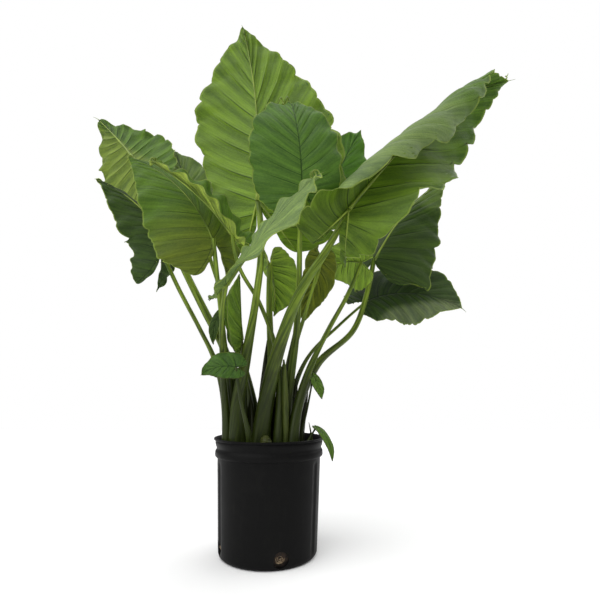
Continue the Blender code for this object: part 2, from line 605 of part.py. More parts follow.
def build_pot():
    """A turned profile whose lower wall has upright flutes, with drain holes cut through."""
    band = POT_HEIGHT - BAND_HEIGHT
    body = BODY_TOP_RADIUS
    outer = [
        (BASE_RADIUS - BASE_CORNER, 0.0, 0),
        (BASE_RADIUS - 0.3 * BASE_CORNER, 0.3 * BASE_CORNER, 0),
        (BASE_RADIUS, BASE_CORNER, 0),
        (BASE_RADIUS + 0.0006, BASE_CORNER + 0.008, 1),
        (body, band - 0.008, 1),
        (body, band - 0.001, 0),
        (body + 0.004, band + 0.002, 0),
        (body + 0.0045, band + 0.018, 0),
        (body + 0.0030, band + 0.0205, 0),
        (body + 0.0055, band + 0.023, 0),
        (body + 0.0060, POT_HEIGHT - 0.006, 0),
        (RIM_RADIUS, POT_HEIGHT - 0.003, 0),
        (RIM_RADIUS, POT_HEIGHT, 0),
    ]
    inner = [
        (RIM_RADIUS - 0.0045, POT_HEIGHT, 0),
        (body + 0.0060 - WALL, POT_HEIGHT - 0.006, 0),
        (body - WALL, band + 0.004, 0),
        (BASE_RADIUS - WALL - FLUTE_DEPTH, BASE_CORNER + 0.006, 0),
        (BASE_RADIUS - BASE_CORNER, FLOOR, 0),
    ]
    points = []
    for radius, height, fluted in outer + inner:
        for k in range(POT_SIDES):
            turn = 2 * math.pi * k / POT_SIDES - math.pi / 2
            depth = FLUTE_DEPTH if fluted and k in FLUTE_STEPS else 0.0
            points.append(((radius - depth) * math.cos(turn), (radius - depth) * math.sin(turn), height))
    rings = len(outer) + len(inner)
    faces = []
    for ring in range(rings - 1):
        for k in range(POT_SIDES):
            a = ring * POT_SIDES + k
            b = ring * POT_SIDES + (k + 1) % POT_SIDES
            faces.append((a, b, b + POT_SIDES, a + POT_SIDES))
    faces.append(tuple(reversed(range(POT_SIDES))))
    last = (rings - 1) * POT_SIDES
    faces.append(tuple(range(last, last + POT_SIDES)))
    pot = add_object("pot", points, faces, material("pot", POT_BLACK, 0.45), 35)
    cutters = []
    for k in range(DRAIN_COUNT):
        turn = math.radians(DRAIN_FIRST_ANGLE + 360 * k / DRAIN_COUNT)
        out = np.array((math.cos(turn), math.sin(turn), 0.0))
        path = np.array([out * (BASE_RADIUS - 0.016), out * (BASE_RADIUS + 0.012)])
        path[:, 2] = DRAIN_HEIGHT
        cutters.append(tube("drain", path, (DRAIN_RADIUS,) * 2, 12))
    boolean(pot, cutters, "DIFFERENCE")
    return pot


def soil_radius(height):
    """The pot's inner radius at a height, less the gap to the soil."""
    band = POT_HEIGHT - BAND_HEIGHT
    heights = (FLOOR, BASE_CORNER + 0.006, band + 0.004, POT_HEIGHT - 0.006)
    radii = (BASE_RADIUS - BASE_CORNER, BASE_RADIUS - WALL - FLUTE_DEPTH,
             BODY_TOP_RADIUS - WALL, BODY_TOP_RADIUS + 0.0060 - WALL)
    return float(np.interp(height, heights, radii)) - GAP * 2


def build_growth(name):
    places, radii = zip(*GROWTHS[name])
    growth = tube(name, np.array(places) * CM, np.array(radii) * CM, 12)
    growth.data.materials.append(material(name, GROWTH_COLOURS[name], 0.5))
    return growth


def build_soil(feet):
    """Soil that fills the pot, with a plain hole for each foot (x, y, radius, centimetres)."""
    dice = random.Random("soil")
    points = []
    for height in (FLOOR + GAP, BASE_CORNER + 0.006, POT_HEIGHT - BAND_HEIGHT + 0.004, SOIL_TOP):
        for k in range(SOIL_SIDES):
            turn = 2 * math.pi * k / SOIL_SIDES
            radius = soil_radius(height) * math.cos(math.pi / POT_SIDES)
            points.append((radius * math.cos(turn), radius * math.sin(turn), height))
    rings = 4
    edge = soil_radius(SOIL_TOP) * math.cos(math.pi / POT_SIDES)
    for ring in range(1, SOIL_RINGS):
        for k in range(SOIL_SIDES):
            turn = 2 * math.pi * k / SOIL_SIDES
            radius = edge * (1 - ring / SOIL_RINGS)
            rise = dice.uniform(-1, 1) * SOIL_RELIEF
            points.append((radius * math.cos(turn), radius * math.sin(turn), SOIL_TOP + rise))
    rings += SOIL_RINGS - 1
    points.append((0, 0, SOIL_TOP))
    faces = [tuple(reversed(range(SOIL_SIDES)))]
    for ring in range(rings - 1):
        for k in range(SOIL_SIDES):
            a = ring * SOIL_SIDES + k
            b = ring * SOIL_SIDES + (k + 1) % SOIL_SIDES
            faces += [(a, b, b + SOIL_SIDES), (a, b + SOIL_SIDES, a + SOIL_SIDES)]
    last = (rings - 1) * SOIL_SIDES
    for k in range(SOIL_SIDES):
        faces.append((last + k, last + (k + 1) % SOIL_SIDES, len(points) - 1))
    soil = add_object("soil", points, faces, material("soil", SOIL_BROWN, 0.95), 30)
    cutters = []
    for x, y, radius in feet:
        path = np.array([(x * CM, y * CM, SOIL_TOP - STEM_DEPTH - GAP), (x * CM, y * CM, SOIL_TOP + 0.02)])
        cutters.append(tube("hole", path, (radius * CM + HOLE_PLAY,) * 2, HOLE_SIDES))
    boolean(soil, cutters, "DIFFERENCE")
    return soil


def main():
    clear_scene()
    specs = table()
    feet = [(*spec["stem"][0], spec["radius"][0]) for spec in specs]
    for growth in GROWTHS.values():
        foot = growth[0][0]
        feet.append((foot[0], foot[1], max(radius for place, radius in growth)))
    build_pot()
    build_soil(feet)
    for name in GROWTHS:
        build_growth(name)
    for spec in specs:
        build_leaf(spec)


main()
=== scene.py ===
"""Looks of a potted alocasia: fine blades with veins, pleats and ruffled edges, stems with
their streaks, a moulded nursery pot, crumbly soil and the roots in the pot's drain holes.

Metres, +Z up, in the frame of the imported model. The leaf table is in centimetres and follows
the same formulas as the solids, so each fine leaf lies where its solid is.
"""

import math
import random

import bpy
import numpy as np
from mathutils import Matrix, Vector, noise


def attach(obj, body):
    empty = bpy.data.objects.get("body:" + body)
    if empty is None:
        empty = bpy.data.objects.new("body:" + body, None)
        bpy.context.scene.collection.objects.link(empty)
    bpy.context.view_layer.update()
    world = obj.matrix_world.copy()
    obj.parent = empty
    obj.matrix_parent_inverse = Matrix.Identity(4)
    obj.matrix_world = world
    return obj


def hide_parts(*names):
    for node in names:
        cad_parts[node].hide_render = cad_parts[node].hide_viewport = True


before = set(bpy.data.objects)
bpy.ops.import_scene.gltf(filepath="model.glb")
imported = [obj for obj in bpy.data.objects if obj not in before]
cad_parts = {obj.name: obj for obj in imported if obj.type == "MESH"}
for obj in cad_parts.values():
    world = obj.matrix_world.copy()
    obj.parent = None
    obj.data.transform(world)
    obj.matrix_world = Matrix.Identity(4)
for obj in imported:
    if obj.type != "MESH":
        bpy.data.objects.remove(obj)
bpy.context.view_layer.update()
CM = 0.01
TURN = 2 * math.pi
UP = np.array((0.0, 0.0, 1.0))

# Camera, fitted to the pot's outline in the photograph
CAMERA_PLACE = (0.070, -1.018, 0.3415)
CAMERA_TILT = 12.24
FOCAL_PIXELS = 424.0
IMAGE_PIXELS = 600.0
SENSOR = 36.0

# Studio: the even light, then wide soft lamps as name, way to the lamp, spread and strength
AMBIENT = 0.41
LAMPS = (
    ("light_left_front", (-0.50, -0.50, 0.72), 80.0, 2.6),
    ("light_right_back", (0.50, 0.35, 0.75), 80.0, 1.5),
)
LAMP_DISTANCE = 3.0
FLOOR_REACH = 3.0
WHITE = (1.0, 1.0, 1.0, 1.0)

# Pot
POT_HEIGHT = 0.242
RIM_RADIUS = 0.125
BODY_TOP_RADIUS = 0.1155
BASE_RADIUS = 0.107
BASE_CORNER = 0.010
WALL = 0.0024
FLOOR = 0.0035
BAND_LOW = POT_HEIGHT - 0.046
POT_STEPS = 240
AXIS_HOLE = 0.0005
SHARP_ANGLE = 40.0
# The outline of the band outward from the body and up from its low end, of its top outward from
# the body and down from the pot's height, and of the lip inward from the rim and down from there
BAND_FORM = ((0.0, -0.0030), (0.0004, 0.0020), (0.0010, 0.0050), (0.0040, 0.0060),
             (0.0056, 0.0076), (0.0060, 0.0105), (0.0058, 0.0165), (0.0050, 0.0195),
             (0.0034, 0.0212), (0.0027, 0.0240), (0.0033, 0.0268), (0.0047, 0.0295))
BAND_TOP_FORM = ((0.0058, 0.0115), (0.0060, 0.0085), (0.0053, 0.0066), (0.0052, 0.0056))
LIP_FORM = ((0.0012, 0.0048), (0.0, 0.0036), (0.0, 0.0012), (0.0012, 0.0002), (0.0024, 0.0),
            (0.0040, 0.0006), (0.0050, 0.0022))
FLUTE_DEPTH = 0.0022
FLUTE_ANGLES = (-27.0, 0.0, 27.0, 153.0, 180.0, 207.0)
FLUTE_HALF_WIDTH = 3.4
DRAIN_ANGLES = (-72.0, 18.0, 108.0, 198.0)
DRAIN_RADIUS = 0.0155
DRAIN_HEIGHT = 0.0200
DRAIN_SIDES = 40
DRAIN_CUT = (-0.016, 0.0, 0.012)
DRAIN_ROOTS = 8
DRAIN_ROOT_RINGS = 40
DRAIN_ROOT_SIDES = 7
DRAIN_ROOT_RADII = (0.0003, 0.0006)
SOIL_GAP = 0.0008

# Soil
SOIL_TOP = 0.222
SOIL_FOOT = FLOOR + 0.0004
SOIL_STEPS = 150
SOIL_RINGS = 46
SOIL_MOUNDS = 0.0035
SOIL_LUMPS = 0.0014
SOIL_GRAIN = 0.0008
CRUMBS = 420
CRUMB_SIZES = (0.0012, 0.0038)
CRUMB_RISE = 0.0025

# Stems
STEM_DEPTH = 0.026
STEM_RING_STEP = 0.008
STEM_SIDES = 24
FOOT_RISE = 0.004
RIB_RINGS = 60
RIB_SIDES = 10
RIB_END = 0.985
LOBE_RIB_RINGS = 20
LOBE_RIB_SIDES = 8
LOBE_RIB_END = -0.93
CHANNEL_DEPTH = 0.42
WING_RISE = 0.25
SHEATH_FLARE = 0.85
SHEATH_REACH = 0.50
# Heights over which the stems' painted shade, full below, fades to none above
SOIL_SHADE_HEIGHTS = (0.32, 0.62)

# Blades
BLADE_THICKNESS = 0.0009
RIB_POINTS = 61
COMMON_SPLAY = 0.42
STATION_CROWDING = 0.11
VEIN_WIDTH = 0.0019
VEIN_RIDGE = 0.0016
VEIN_BOW = 0.025
SCALLOP = 0.05
FRILL_LONG = 0.050
FRILL_SHORT = 0.036
# How far past each vein the painted light on its lit flank peaks; the other flank gets painted shade
LIT_FLANK_SHIFT = 0.2
RIB_LINE = 0.0022
SIDE_VEINS = 4.0
MARGIN_RADIUS = 0.0008
MARGIN_SIDES = 6
THREAD_RINGS = 9
THREAD_SIDES = 6
THREAD_RADII = (0.0011, 0.0004)
THREAD_OVERLAP = 0.002
CURL_RINGS = 70
CURL_SIDES = 8
CURL_RADII = (0.0021, 0.0009)
CURL_TURNS = 2.6
POINT_NUMBERS = ("vein", "edge", "pleat", "upper", "run")
POINT_VECTORS = ("flat", "grid")
FOLD_PLACES = (-1, 0.4, 1)
# Places where veins leave the rib, and the solid's own places on the edge that they run to
VEIN_TARGETS = ((-1.0, 0.0, 0.086, 0.23, 0.54, 0.80, 1.0), (-1.0, 0.03, 0.17, 0.41, 0.77, 0.93, 1.0))
# The outline: where on the rib the vein leaves, how much of the half's width its end is out on
# a heart-shaped and on an oval blade, and how far ahead or back along the blade that end is
OUTLINE = (
    (0.90, 0.09, 0.14, 0.945),
    (0.75, 0.32, 0.46, 0.83),
    (0.60, 0.55, 0.74, 0.71),
    (0.45, 0.74, 0.93, 0.58),
    (0.30, 0.89, 1.00, 0.44),
    (0.15, 0.97, 0.97, 0.29),
    (0.00, 1.00, 0.88, 0.13),
    (-0.30, 0.95, 0.74, -0.25),
    (-0.60, 0.80, 0.58, -0.66),
    (-0.85, 0.58, 0.42, -0.93),
)
SINUS = 0.07
LOBE_INNER_BULGE = 0.10
LOBE_LEAST_STRIP = 0.0035

# Places on the midrib and the wave's phase there, as the solids' coarse stations have them
WAVE_KNOTS = {
    "large": ((-1.0, -0.75, -0.4, 0.0, 1.0), (0.0, 1 / 13, 2 / 13, 3 / 13, 1.0)),
    "medium": ((-1.0, -0.65, -0.3, 0.0, 1.0), (0.0, 1 / 11, 2 / 11, 3 / 11, 1.0)),
    "small": ((-1.0, -0.5, 0.0, 1.0), (0.0, 1 / 8, 2 / 8, 1.0)),
}
# Veins ahead of the stem and in a lobe, stations to a vein, columns to a half blade
DETAIL = {"large": (9.6, 4, 14, 24), "medium": (7.5, 3, 12, 18), "small": (5.5, 2, 9, 10)}

# The leaves, as the solids have them, in centimetres and degrees: the stem from its foot, the
# midrib, the way the upper side faces, the width of the left and of the right half, the length
# of the lobes and how far they bend up (lift), how oval the outline is (belly), how far the
# lobes' ribs part (splay), the fold and the droop of each half at the places along the blade,
# the height and number of the edge's waves, and the stem's radius at its foot and at its end
LEAVES = (
    dict(name="leaf_back_tall", size="large",
         stem=[(-6.8, -6.2), (-6.7, -6.6, 32), (-5.0, -8.0, 41.3), (-2.8, -9.5, 54.6),
               (-2.1, -7.5, 65.2), (-3.3, -5.5, 79.7)],
         rib=[(-3.8, -4.0, 97), (-5.5, -2.0, 115), (-9.5, 0.5, 136.5)],
         face=[(0.0, 1.0, -0.1)] * 2, width=(21, 17.5), lobe=13, lift=10, belly=(-0.3, 1.5),
         left=[(0, 0, 0), (0, 10, 20)], right=[(30, 32, 15), (10, 15, 10)],
         ruffle=0.55, waves=5, radius=(0.9, 0.75)),
    dict(name="leaf_centre", size="large",
         stem=[(3.9, -2.6), (4.6, -2.2, 34), (6.2, -3.5, 48), (6.8, -8.0, 60),
               (7.0, -12.5, 69), (7.5, -15.5, 78.5)],
         rib=[(7.0, -17.5, 87), (5.6, -16.0, 97), (4.8, -10.5, 103)],
         face=[(0.1, -1.0, 0.1), (0.0, -0.3, 1.0)], width=(11.5, 9.5), lobe=6, lift=-10, belly=0.4,
         left=[(0, 5, 5), (20, 20, 10)], right=[(0, 5, 5), (20, 25, 10)],
         ruffle=0.35, waves=5, radius=(1.1, 0.45)),
    dict(name="leaf_centre_tip", size="medium",
         stem=[(1.4, 5.0), (4.0, 5.6, 40), (9.0, 5.0, 62), (15.0, 3.0, 84)],
         rib=[(19.0, 4.0, 96), (24.3, 6.0, 107)],
         face=[(0.3, -1.0, 0.3)] * 2, width=(8, 8), lobe=6, belly=0.5,
         left=[(0, 0, 0), (20, 20, 10)], right=[(0, 0, 0), (20, 30, 10)],
         ruffle=0.4, waves=4, radius=(0.7, 0.35)),
    dict(name="leaf_front_long", size="large",
         stem=[(-8.9, -5.4), (-9.8, -8.0, 38), (-9.6, -13, 46.5), (-7.4, -21.5, 54.8)],
         rib=[(-2.5, -25.5, 60), (4.0, -26, 68.5), (11.2, -24, 77)],
         face=[(-0.6, -0.6, 0.5), (-0.5, -0.5, 0.75)],
         width=(6.0, 6.6), lobe=4.6, lift=20, belly=(0.8, 2.1), splay=(0.42, 1.0),
         places=(-1, 0, 0.5, 1),
         left=[(0, 0, 5, 5), (15, 15, 15, 10)], right=[(20, 35, 10, 10), (10, 10, 30, 10)],
         ruffle=0.5, waves=5, radius=(0.6, 0.45)),
    dict(name="leaf_folded_small", size="small",
         stem=[(-5.3, -3.6), (-5.6, -4.2, 38), (-5.9, -8.0, 45.4)],
         rib=[(-6.2, -9.5, 52), (-6.6, -10, 60)],
         face=[(-1.0, -0.35, 0.0)] * 2, width=(4.0, 4.0), lobe=3, belly=0.7,
         left=[(50, 62, 60), (10, 10, 0)], right=[(50, 62, 60), (10, 10, 0)],
         ruffle=0.1, waves=3, radius=(0.5, 0.3)),
    dict(name="leaf_low_small", size="small",
         stem=[(-3.6, -8.6), (-5.4, -11.6, 33), (-6.3, -12.8, 39.2)],
         rib=[(-9.8, -13.4, 39.2), (-13.2, -13.6, 37.6)],
         face=[(-0.1, -0.95, 0.35)] * 2, width=(2.6, 3.4), lobe=2.2, belly=0.4,
         left=[(-10, 0, 0), (10, 10, 0)], right=[(0, 0, 0), (10, 10, 0)],
         ruffle=0.25, waves=3, radius=(0.42, 0.3)),
    dict(name="leaf_hanging_green", size="medium",
         stem=[(0.3, 0.8), (0.0, 0.4, 44), (-0.5, -0.5, 56), (-0.4, -0.6, 65)],
         rib=[(0.3, 1.6, 62), (0.6, 1.6, 52.5)],
         face=[(0.1, 1.0, 0.3), (0.1, 1.0, 0.0)], width=(4.5, 6.5), lobe=4.5, belly=0.4,
         left=[(60, 70, 60), (20, 20, 0)], right=[(0, 0, 0), (10, 10, 0)],
         ruffle=0.25, waves=4, radius=(1.0, 0.7)),
    dict(name="leaf_hanging_olive", size="medium",
         stem=[(3.2, 2.6), (5.6, 2.2, 44), (8.6, 1.0, 54), (12.2, -0.6, 66)],
         rib=[(11.4, 2.6, 62), (9.2, 3.6, 57), (7.8, 3.4, 51)],
         face=[(0.2, 1.0, 0.3), (0.2, 1.0, 0.0)], width=(4.0, 4.5), lobe=4, belly=0.3,
         left=[(0, 0, 0), (20, 20, 0)], right=[(0, 0, 0), (20, 20, 0)],
         ruffle=0.25, waves=4, radius=(0.6, 0.4)),
    dict(name="leaf_under_right", size="medium",
         stem=[(5.5, -4.9), (8.4, -3.4, 37), (14.0, -1.0, 49), (18.2, -0.4, 56.5), (22.4, 0.0, 66)],
         rib=[(18.3, 2.6, 66.7), (12.5, 7.0, 63.8)],
         face=[(0.0, 0.7, 0.6)] * 2, width=(6.5, 8.0), lobe=3.5, lift=-10, belly=0.3,
         left=[(0, 0, 0), (25, 25, 0)], right=[(0, 0, 0), (25, 25, 0)],
         ruffle=0.3, waves=4, radius=(0.75, 0.45)),
    dict(name="leaf_right_long", size="large",
         stem=[(-1.6, -4.4), (-0.4, -5.0, 33), (2.6, -8.0, 44.5), (7.2, -10.5, 56),
               (13.4, -11.5, 66), (18.2, -11, 75)],
         rib=[(25, -6.5, 85), (41, 3.5, 106), (58, 13, 124), (75.5, 19, 134)],
         face=[(-0.35, 0.9, -0.1), (-0.5, 0.4, 0.75), (-0.4, 0.5, 0.75)],
         width=(15.2, 14.8), lobe=16, lift=-15, belly=(1.3, 1.2), splay=(0.8, 0.2),
         places=(-1, -0.6, -0.05, 0.15, 1), left=[(-5, -5, -28, -35, -40), (15, 15, 20, 30, 0)],
         right=[(0, 5, 16, 18, 10), (20, 80, 215, 225, 170)],
         ruffle=0.8, waves=5, radius=(2.2, 0.6)),
    dict(name="leaf_right_dark", size="large",
         stem=[(5.2, 0.6), (11.0, 1.6, 40.5), (20.7, 5.0, 49.8), (24.8, 7.5, 60.2),
               (26.9, 7.5, 69.3)],
         rib=[(33.2, 11, 79.3), (44.4, 17, 92.6), (54.5, 19, 101)],
         face=[(-0.45, -0.2, 0.85), (-0.4, 0.1, 0.9)],
         width=(10, 14.5), lobe=8.5, lift=-35, belly=-0.8, splay=0.5,
         left=[(0, 10, 10), (20, 20, 10)], right=[(-55, -55, -52), (30, 40, 60)],
         ruffle=0.45, waves=5, radius=(0.95, 0.65)),
    dict(name="leaf_right_low", size="large",
         stem=[(4.0, 5.0), (8.6, 5.2, 42), (17.4, 9.0, 51.4), (25.6, 12.0, 58.7)],
         rib=[(33.3, 13.0, 60.9), (41.5, 12.0, 60.3), (50.3, 9.5, 56.0)],
         face=[(-0.1, -0.6, 0.8), (0.2, -0.75, 0.65)],
         width=(12.5, 10.4), lobe=4.5, lift=-10, belly=1.0,
         left=[(0, 15, 25), (15, 10, 0)], right=[(-10, -15, -15), (20, 20, 10)],
         ruffle=0.35, waves=5, radius=(0.5, 0.35)),
    dict(name="leaf_left_far", size="large",
         stem=[(-7.0, 0.4), (-11.4, -0.6, 45), (-15.6, -0.4, 52.5), (-22.6, 0.5, 65.4),
               (-30, 2.5, 80), (-38.2, 5.0, 96.6)],
         rib=[(-46, 8.5, 106), (-54.2, 12.5, 115)],
         face=[(0.5, 0.8, 0.3)] * 2, width=(11, 13.5), lobe=12, belly=0.1,
         left=[(30, 70, 70), (10, 20, 10)], right=[(0, 0, 0), (10, 10, 0)],
         ruffle=0.5, waves=5, radius=(1.2, 0.7)),
    dict(name="leaf_left_front", size="large",
         stem=[(-7.6, -3.0), (-9.6, -7.0, 43), (-10.9, -11.0, 56), (-12.0, -14, 67)],
         rib=[(-18, -15.5, 76.5), (-25.5, -15.5, 83), (-32.5, -14, 86.5)],
         face=[(0.35, -0.45, 0.8)] * 2, width=(12, 8), lobe=9, lift=-40, belly=-0.1,
         left=[(-40, -42, -40), (20, 25, 10)], right=[(10, 10, 10), (10, 10, 0)],
         ruffle=0.45, waves=5, radius=(0.65, 0.5)),
    dict(name="leaf_left_low", size="large",
         stem=[(-9.4, -2.2), (-12.6, -5.0, 42), (-15.6, -6.5, 48), (-21, -8.5, 58),
               (-24.6, -9.5, 65.5)],
         rib=[(-25.5, -10.5, 71), (-29.5, -11, 75.5), (-40.4, -11.5, 82.5)],
         face=[(0.3, -0.3, 0.85)] * 2, width=(8, 5), lobe=10, lift=-30, belly=0.0, splay=0.5,
         left=[(-60, -62, -45), (30, 30, 10)], right=[(-10, 0, 0), (10, 10, 0)],
         ruffle=0.5, waves=5, radius=(0.65, 0.45)),
    dict(name="leaf_left_narrow", size="large",
         stem=[(2.3, -5.2), (2.4, -4.4, 36), (1.4, -4.6, 44), (-2.2, -6.5, 53.9),
               (-6.6, -12.0, 61.6), (-7.8, -14.5, 67.9)],
         rib=[(-13.2, -19, 73.4), (-18.5, -21, 77.6), (-24.6, -21, 81.6)],
         face=[(0.4, -0.6, 0.6)] * 2,
         width=(2.0, 4.8), lobe=6, lift=30, belly=(0.5, 0.0), splay=(0.6, 0.42),
         places=(-1, 0, 0.4, 1),
         left=[(20, 60, 95, 60), (10, 10, 10, 10)], right=[(20, 30, 30, 0), (20, 20, 20, 10)],
         ruffle=0.4, waves=5, radius=(0.65, 0.4)),
    dict(name="leaf_left_grey", size="large",
         stem=[(-3.6, 3.4), (-8.5, 5.5, 45), (-16, 7.0, 66), (-22, 7.5, 82)],
         rib=[(-25.5, 9.0, 92), (-30, 12, 104)],
         face=[(0.2, -0.9, 0.4)] * 2, width=(12, 12), lobe=7, lift=-10, belly=0.4,
         left=[(0, 0, 0), (20, 20, 10)], right=[(0, 0, 0), (20, 20, 10)],
         ruffle=0.5, waves=5, radius=(0.8, 0.45)),
    dict(name="leaf_bud_left", size="small",
         stem=[(-8.6, 1.8), (-10.2, -1.9, 36), (-11.4, -3.0, 45), (-12.0, -3.6, 52)],
         rib=[(-12.9, -3.4, 49.8), (-13.2, -3.0, 45)],
         face=[(-0.4, -0.9, 0.1)] * 2, width=(1.5, 1.5), lobe=1.4, belly=0.6,
         left=[(0, 10, 0), (20, 20, 0)], right=[(0, 10, 0), (20, 20, 0)],
         ruffle=0.1, waves=2, radius=(0.4, 0.22)),
    dict(name="leaf_bud_right", size="small",
         stem=[(7.0, -1.0), (8.8, -0.2, 31), (10.1, -1.6, 37.8)],
         rib=[(11.0, -2.6, 36), (12.0, -3.0, 32.6)],
         face=[(0.5, -0.8, 0.3), (0.5, -0.8, 0.2)], width=(1.5, 1.5), lobe=1.2, belly=0.6,
         left=[(0, 10, 0), (20, 20, 0)], right=[(0, 10, 0), (20, 20, 0)],
         ruffle=0.1, waves=2, radius=(0.32, 0.2)),
    dict(name="sprout_over_rim", size="small",
         stem=[(8.6, -4.6), (9.4, -4.6, 24.6), (10.6, -4.8, 26.6)],
         rib=[(12.6, -6.6, 24.6), (13.8, -8.0, 20.0)],
         face=[(0.5, -0.6, 0.6), (0.6, -0.7, 0.3)], width=(1.1, 1.1), lobe=0.8, belly=1.0,
         left=[(0, 5, 0), (20, 20, 0)], right=[(0, 5, 0), (20, 20, 0)],
         ruffle=0.05, waves=2, radius=(0.26, 0.2)),
)

# How each leaf looks: the tones of its upper side and of its underside, the same two near its
# stem, then the height of the pleats between its veins, of its small ruffles and of its
# creases, and the length of the thread and of the curls at its tip, in centimetres
LOOKS = {
    "leaf_back_tall": ("green lit green lit", 0.40, 0.30, 0.15, 0.8, 0.0),
    "leaf_centre": ("blue green blue green", 0.40, 0.25, 0.20, 0.3, -4.5),
    "leaf_centre_tip": ("sea green sea green", 0.20, 0.25, 0.15, 0.5, 0.0),
    "leaf_front_long": ("pale pale mist mist", 0.30, 0.35, 0.40, 1.0, -3.6),
    "leaf_folded_small": ("fresh fresh fresh fresh", 0.22, 0.10, 0.10, 0.3, 0.0),
    "leaf_low_small": ("deep green deep green", 0.15, 0.20, 0.20, 0.4, 0.0),
    "leaf_hanging_green": ("bright bright bright bright", 0.20, 0.15, 0.15, 0.4, 0.0),
    "leaf_hanging_olive": ("umber umber umber umber", 0.20, 0.15, 0.15, 0.4, 0.0),
    "leaf_under_right": ("glow glow glow glow", 0.20, 0.20, 0.15, 0.4, 0.0),
    "leaf_right_long": ("green green pale moss", 0.35, 0.30, 0.30, 2.6, 2.4),
    "leaf_right_dark": ("mist green dark green", 0.30, 0.30, 0.20, 0.8, 0.0),
    "leaf_right_low": ("dusty green shade green", 0.35, 0.25, 0.15, 1.6, 0.0),
    "leaf_left_far": ("green green green yellow", 0.30, 0.45, 0.20, 2.6, 0.0),
    "leaf_left_front": ("green olive olive olive", 0.25, 0.25, 0.20, 0.6, 1.8),
    "leaf_left_low": ("dark mist dark mist", 0.30, 0.35, 0.20, 0.6, 0.0),
    "leaf_left_narrow": ("green cream green cream", 0.20, 0.70, 0.40, 0.6, 2.2),
    "leaf_left_grey": ("mist mist mist mist", 0.25, 0.30, 0.20, 0.6, 0.0),
    "leaf_bud_left": ("dark green dark green", 0.06, 0.05, 0.04, 0.2, 0.0),
    "leaf_bud_right": ("green green green green", 0.06, 0.05, 0.04, 0.2, 0.0),
    "sprout_over_rim": ("green green green green", 0.05, 0.03, 0.03, 0.2, 0.0),
}
# Where along the blade the tone near the stem gives way to the other, and how far that place
# is ahead on the right half and behind on the left one
TONE_REACH = {
    "leaf_right_dark": (0.55, 0.85),
    "leaf_right_long": (0.35, 0.75),
    "leaf_right_low": (0.70, 1.00),
    "leaf_left_far": (0.20, 0.80),
}
COMMON_REACH = (-0.1, 0.45)
# On leaf_right_low the slant puts the painted sheen on its right half
TONE_SLANT = {"leaf_right_low": 3.0, "leaf_left_far": -5.0}
# How deep the margin's bays are beside its common ones
BAYS = {"leaf_right_long": 4.0, "leaf_back_tall": 1.8, "leaf_left_far": 1.8, "leaf_right_dark": 1.8}
TONES = {
    "lit": (0.160, 0.275, 0.024),
    "glow": (0.320, 0.470, 0.075),
    "bright": (0.240, 0.365, 0.050),
    "fresh": (0.150, 0.260, 0.035),
    "yellow": (0.230, 0.315, 0.060),
    "cream": (0.380, 0.500, 0.090),
    "green": (0.110, 0.215, 0.026),
    "moss": (0.140, 0.235, 0.026),
    "blue": (0.098, 0.210, 0.032),
    "sea": (0.118, 0.270, 0.037),
    "deep": (0.072, 0.160, 0.026),
    "pale": (0.220, 0.320, 0.115),
    "mist": (0.180, 0.270, 0.080),
    "olive": (0.165, 0.220, 0.028),
    "umber": (0.180, 0.225, 0.026),
    "dark": (0.048, 0.095, 0.016),
    "shade": (0.040, 0.082, 0.016),
    # The pale grey tone on leaf_right_low is a painted sheen
    "dusty": (0.190, 0.240, 0.130),
}
# What a blade's tone is multiplied by on its lit and its shaded places, which are painted light
# and shade, in the painted shade of the creases at its veins and for the light that comes through,
# and how much of that light there is
LIGHT_TINT = (1.75, 1.60, 1.30)
DEEP_TINT = (0.44, 0.50, 0.54)
CREASE_SHADE_TINT = (0.24, 0.30, 0.32)
GLOW_TINT = (1.35, 1.45, 0.60)
GLOW_SHARE = 0.36
MARGIN_TONE = (0.32, 0.44, 0.08)
STEM_TONE = (0.170, 0.265, 0.030)
RIB_TONE = (0.250, 0.360, 0.055)
OLD_BASE_TONE = (0.045, 0.060, 0.014)
PLASTIC_TONES = ((0.0055, 0.0055, 0.0055), (0.011, 0.0107, 0.0100), (0.013, 0.013, 0.0124))
PEAT_TONES = ((0.006, 0.004, 0.003), (0.045, 0.028, 0.017), (0.075, 0.048, 0.028))
ROOT_TONES = ((0.40, 0.30, 0.18), (0.13, 0.085, 0.045))
STUDIO_TONES = ((0.93, 0.93, 0.93), (0.96, 0.96, 0.96))

# Short growths that stand in the soil: places and radii as the solids have them, then the tone
# of the skin and how lumpy it is
GROWTHS = {
    "corm": (((-0.2, -8.6, 19.6), 1.15), ((-0.2, -8.6, 22.6), 1.25), ((-0.2, -8.6, 23.7), 1.35),
             ((-0.2, -8.6, 24.7), 1.0), ((-0.2, -8.6, 25.2), 0.35)),
    "sprout_upright": (((9.7, -1.4, 19.6), 0.28), ((9.7, -1.4, 22.6), 0.28),
                       ((9.5, -1.5, 24.8), 0.24), ((9.0, -1.7, 27.4), 0.05)),
    "crown": (((-3.4, -0.2, 19.6), 1.8), ((-3.4, -0.2, 22.6), 1.8), ((-3.4, -0.2, 27.0), 2.0),
              ((-3.6, -0.3, 32.0), 1.7), ((-4.4, -0.6, 37.0), 0.9), ((-5.3, -0.9, 40.5), 0.15)),
    "bract_front": (((3.9, -5.7, 19.6), 0.6), ((3.9, -5.7, 24.0), 0.6), ((3.8, -5.6, 32.0), 0.7),
                    ((3.5, -5.4, 39.0), 0.5), ((3.3, -5.3, 41.3), 0.15)),
}
GROWTH_SKINS = {
    "corm": ((0.18, 0.22, 0.04), 0.10),
    "sprout_upright": ((0.15, 0.22, 0.03), 0.03),
    "crown": ((0.050, 0.080, 0.012), 0.05),
    "bract_front": ((0.17, 0.24, 0.04), 0.03),
}
GROWTH_STEPS = 60
GROWTH_SIDES = 36
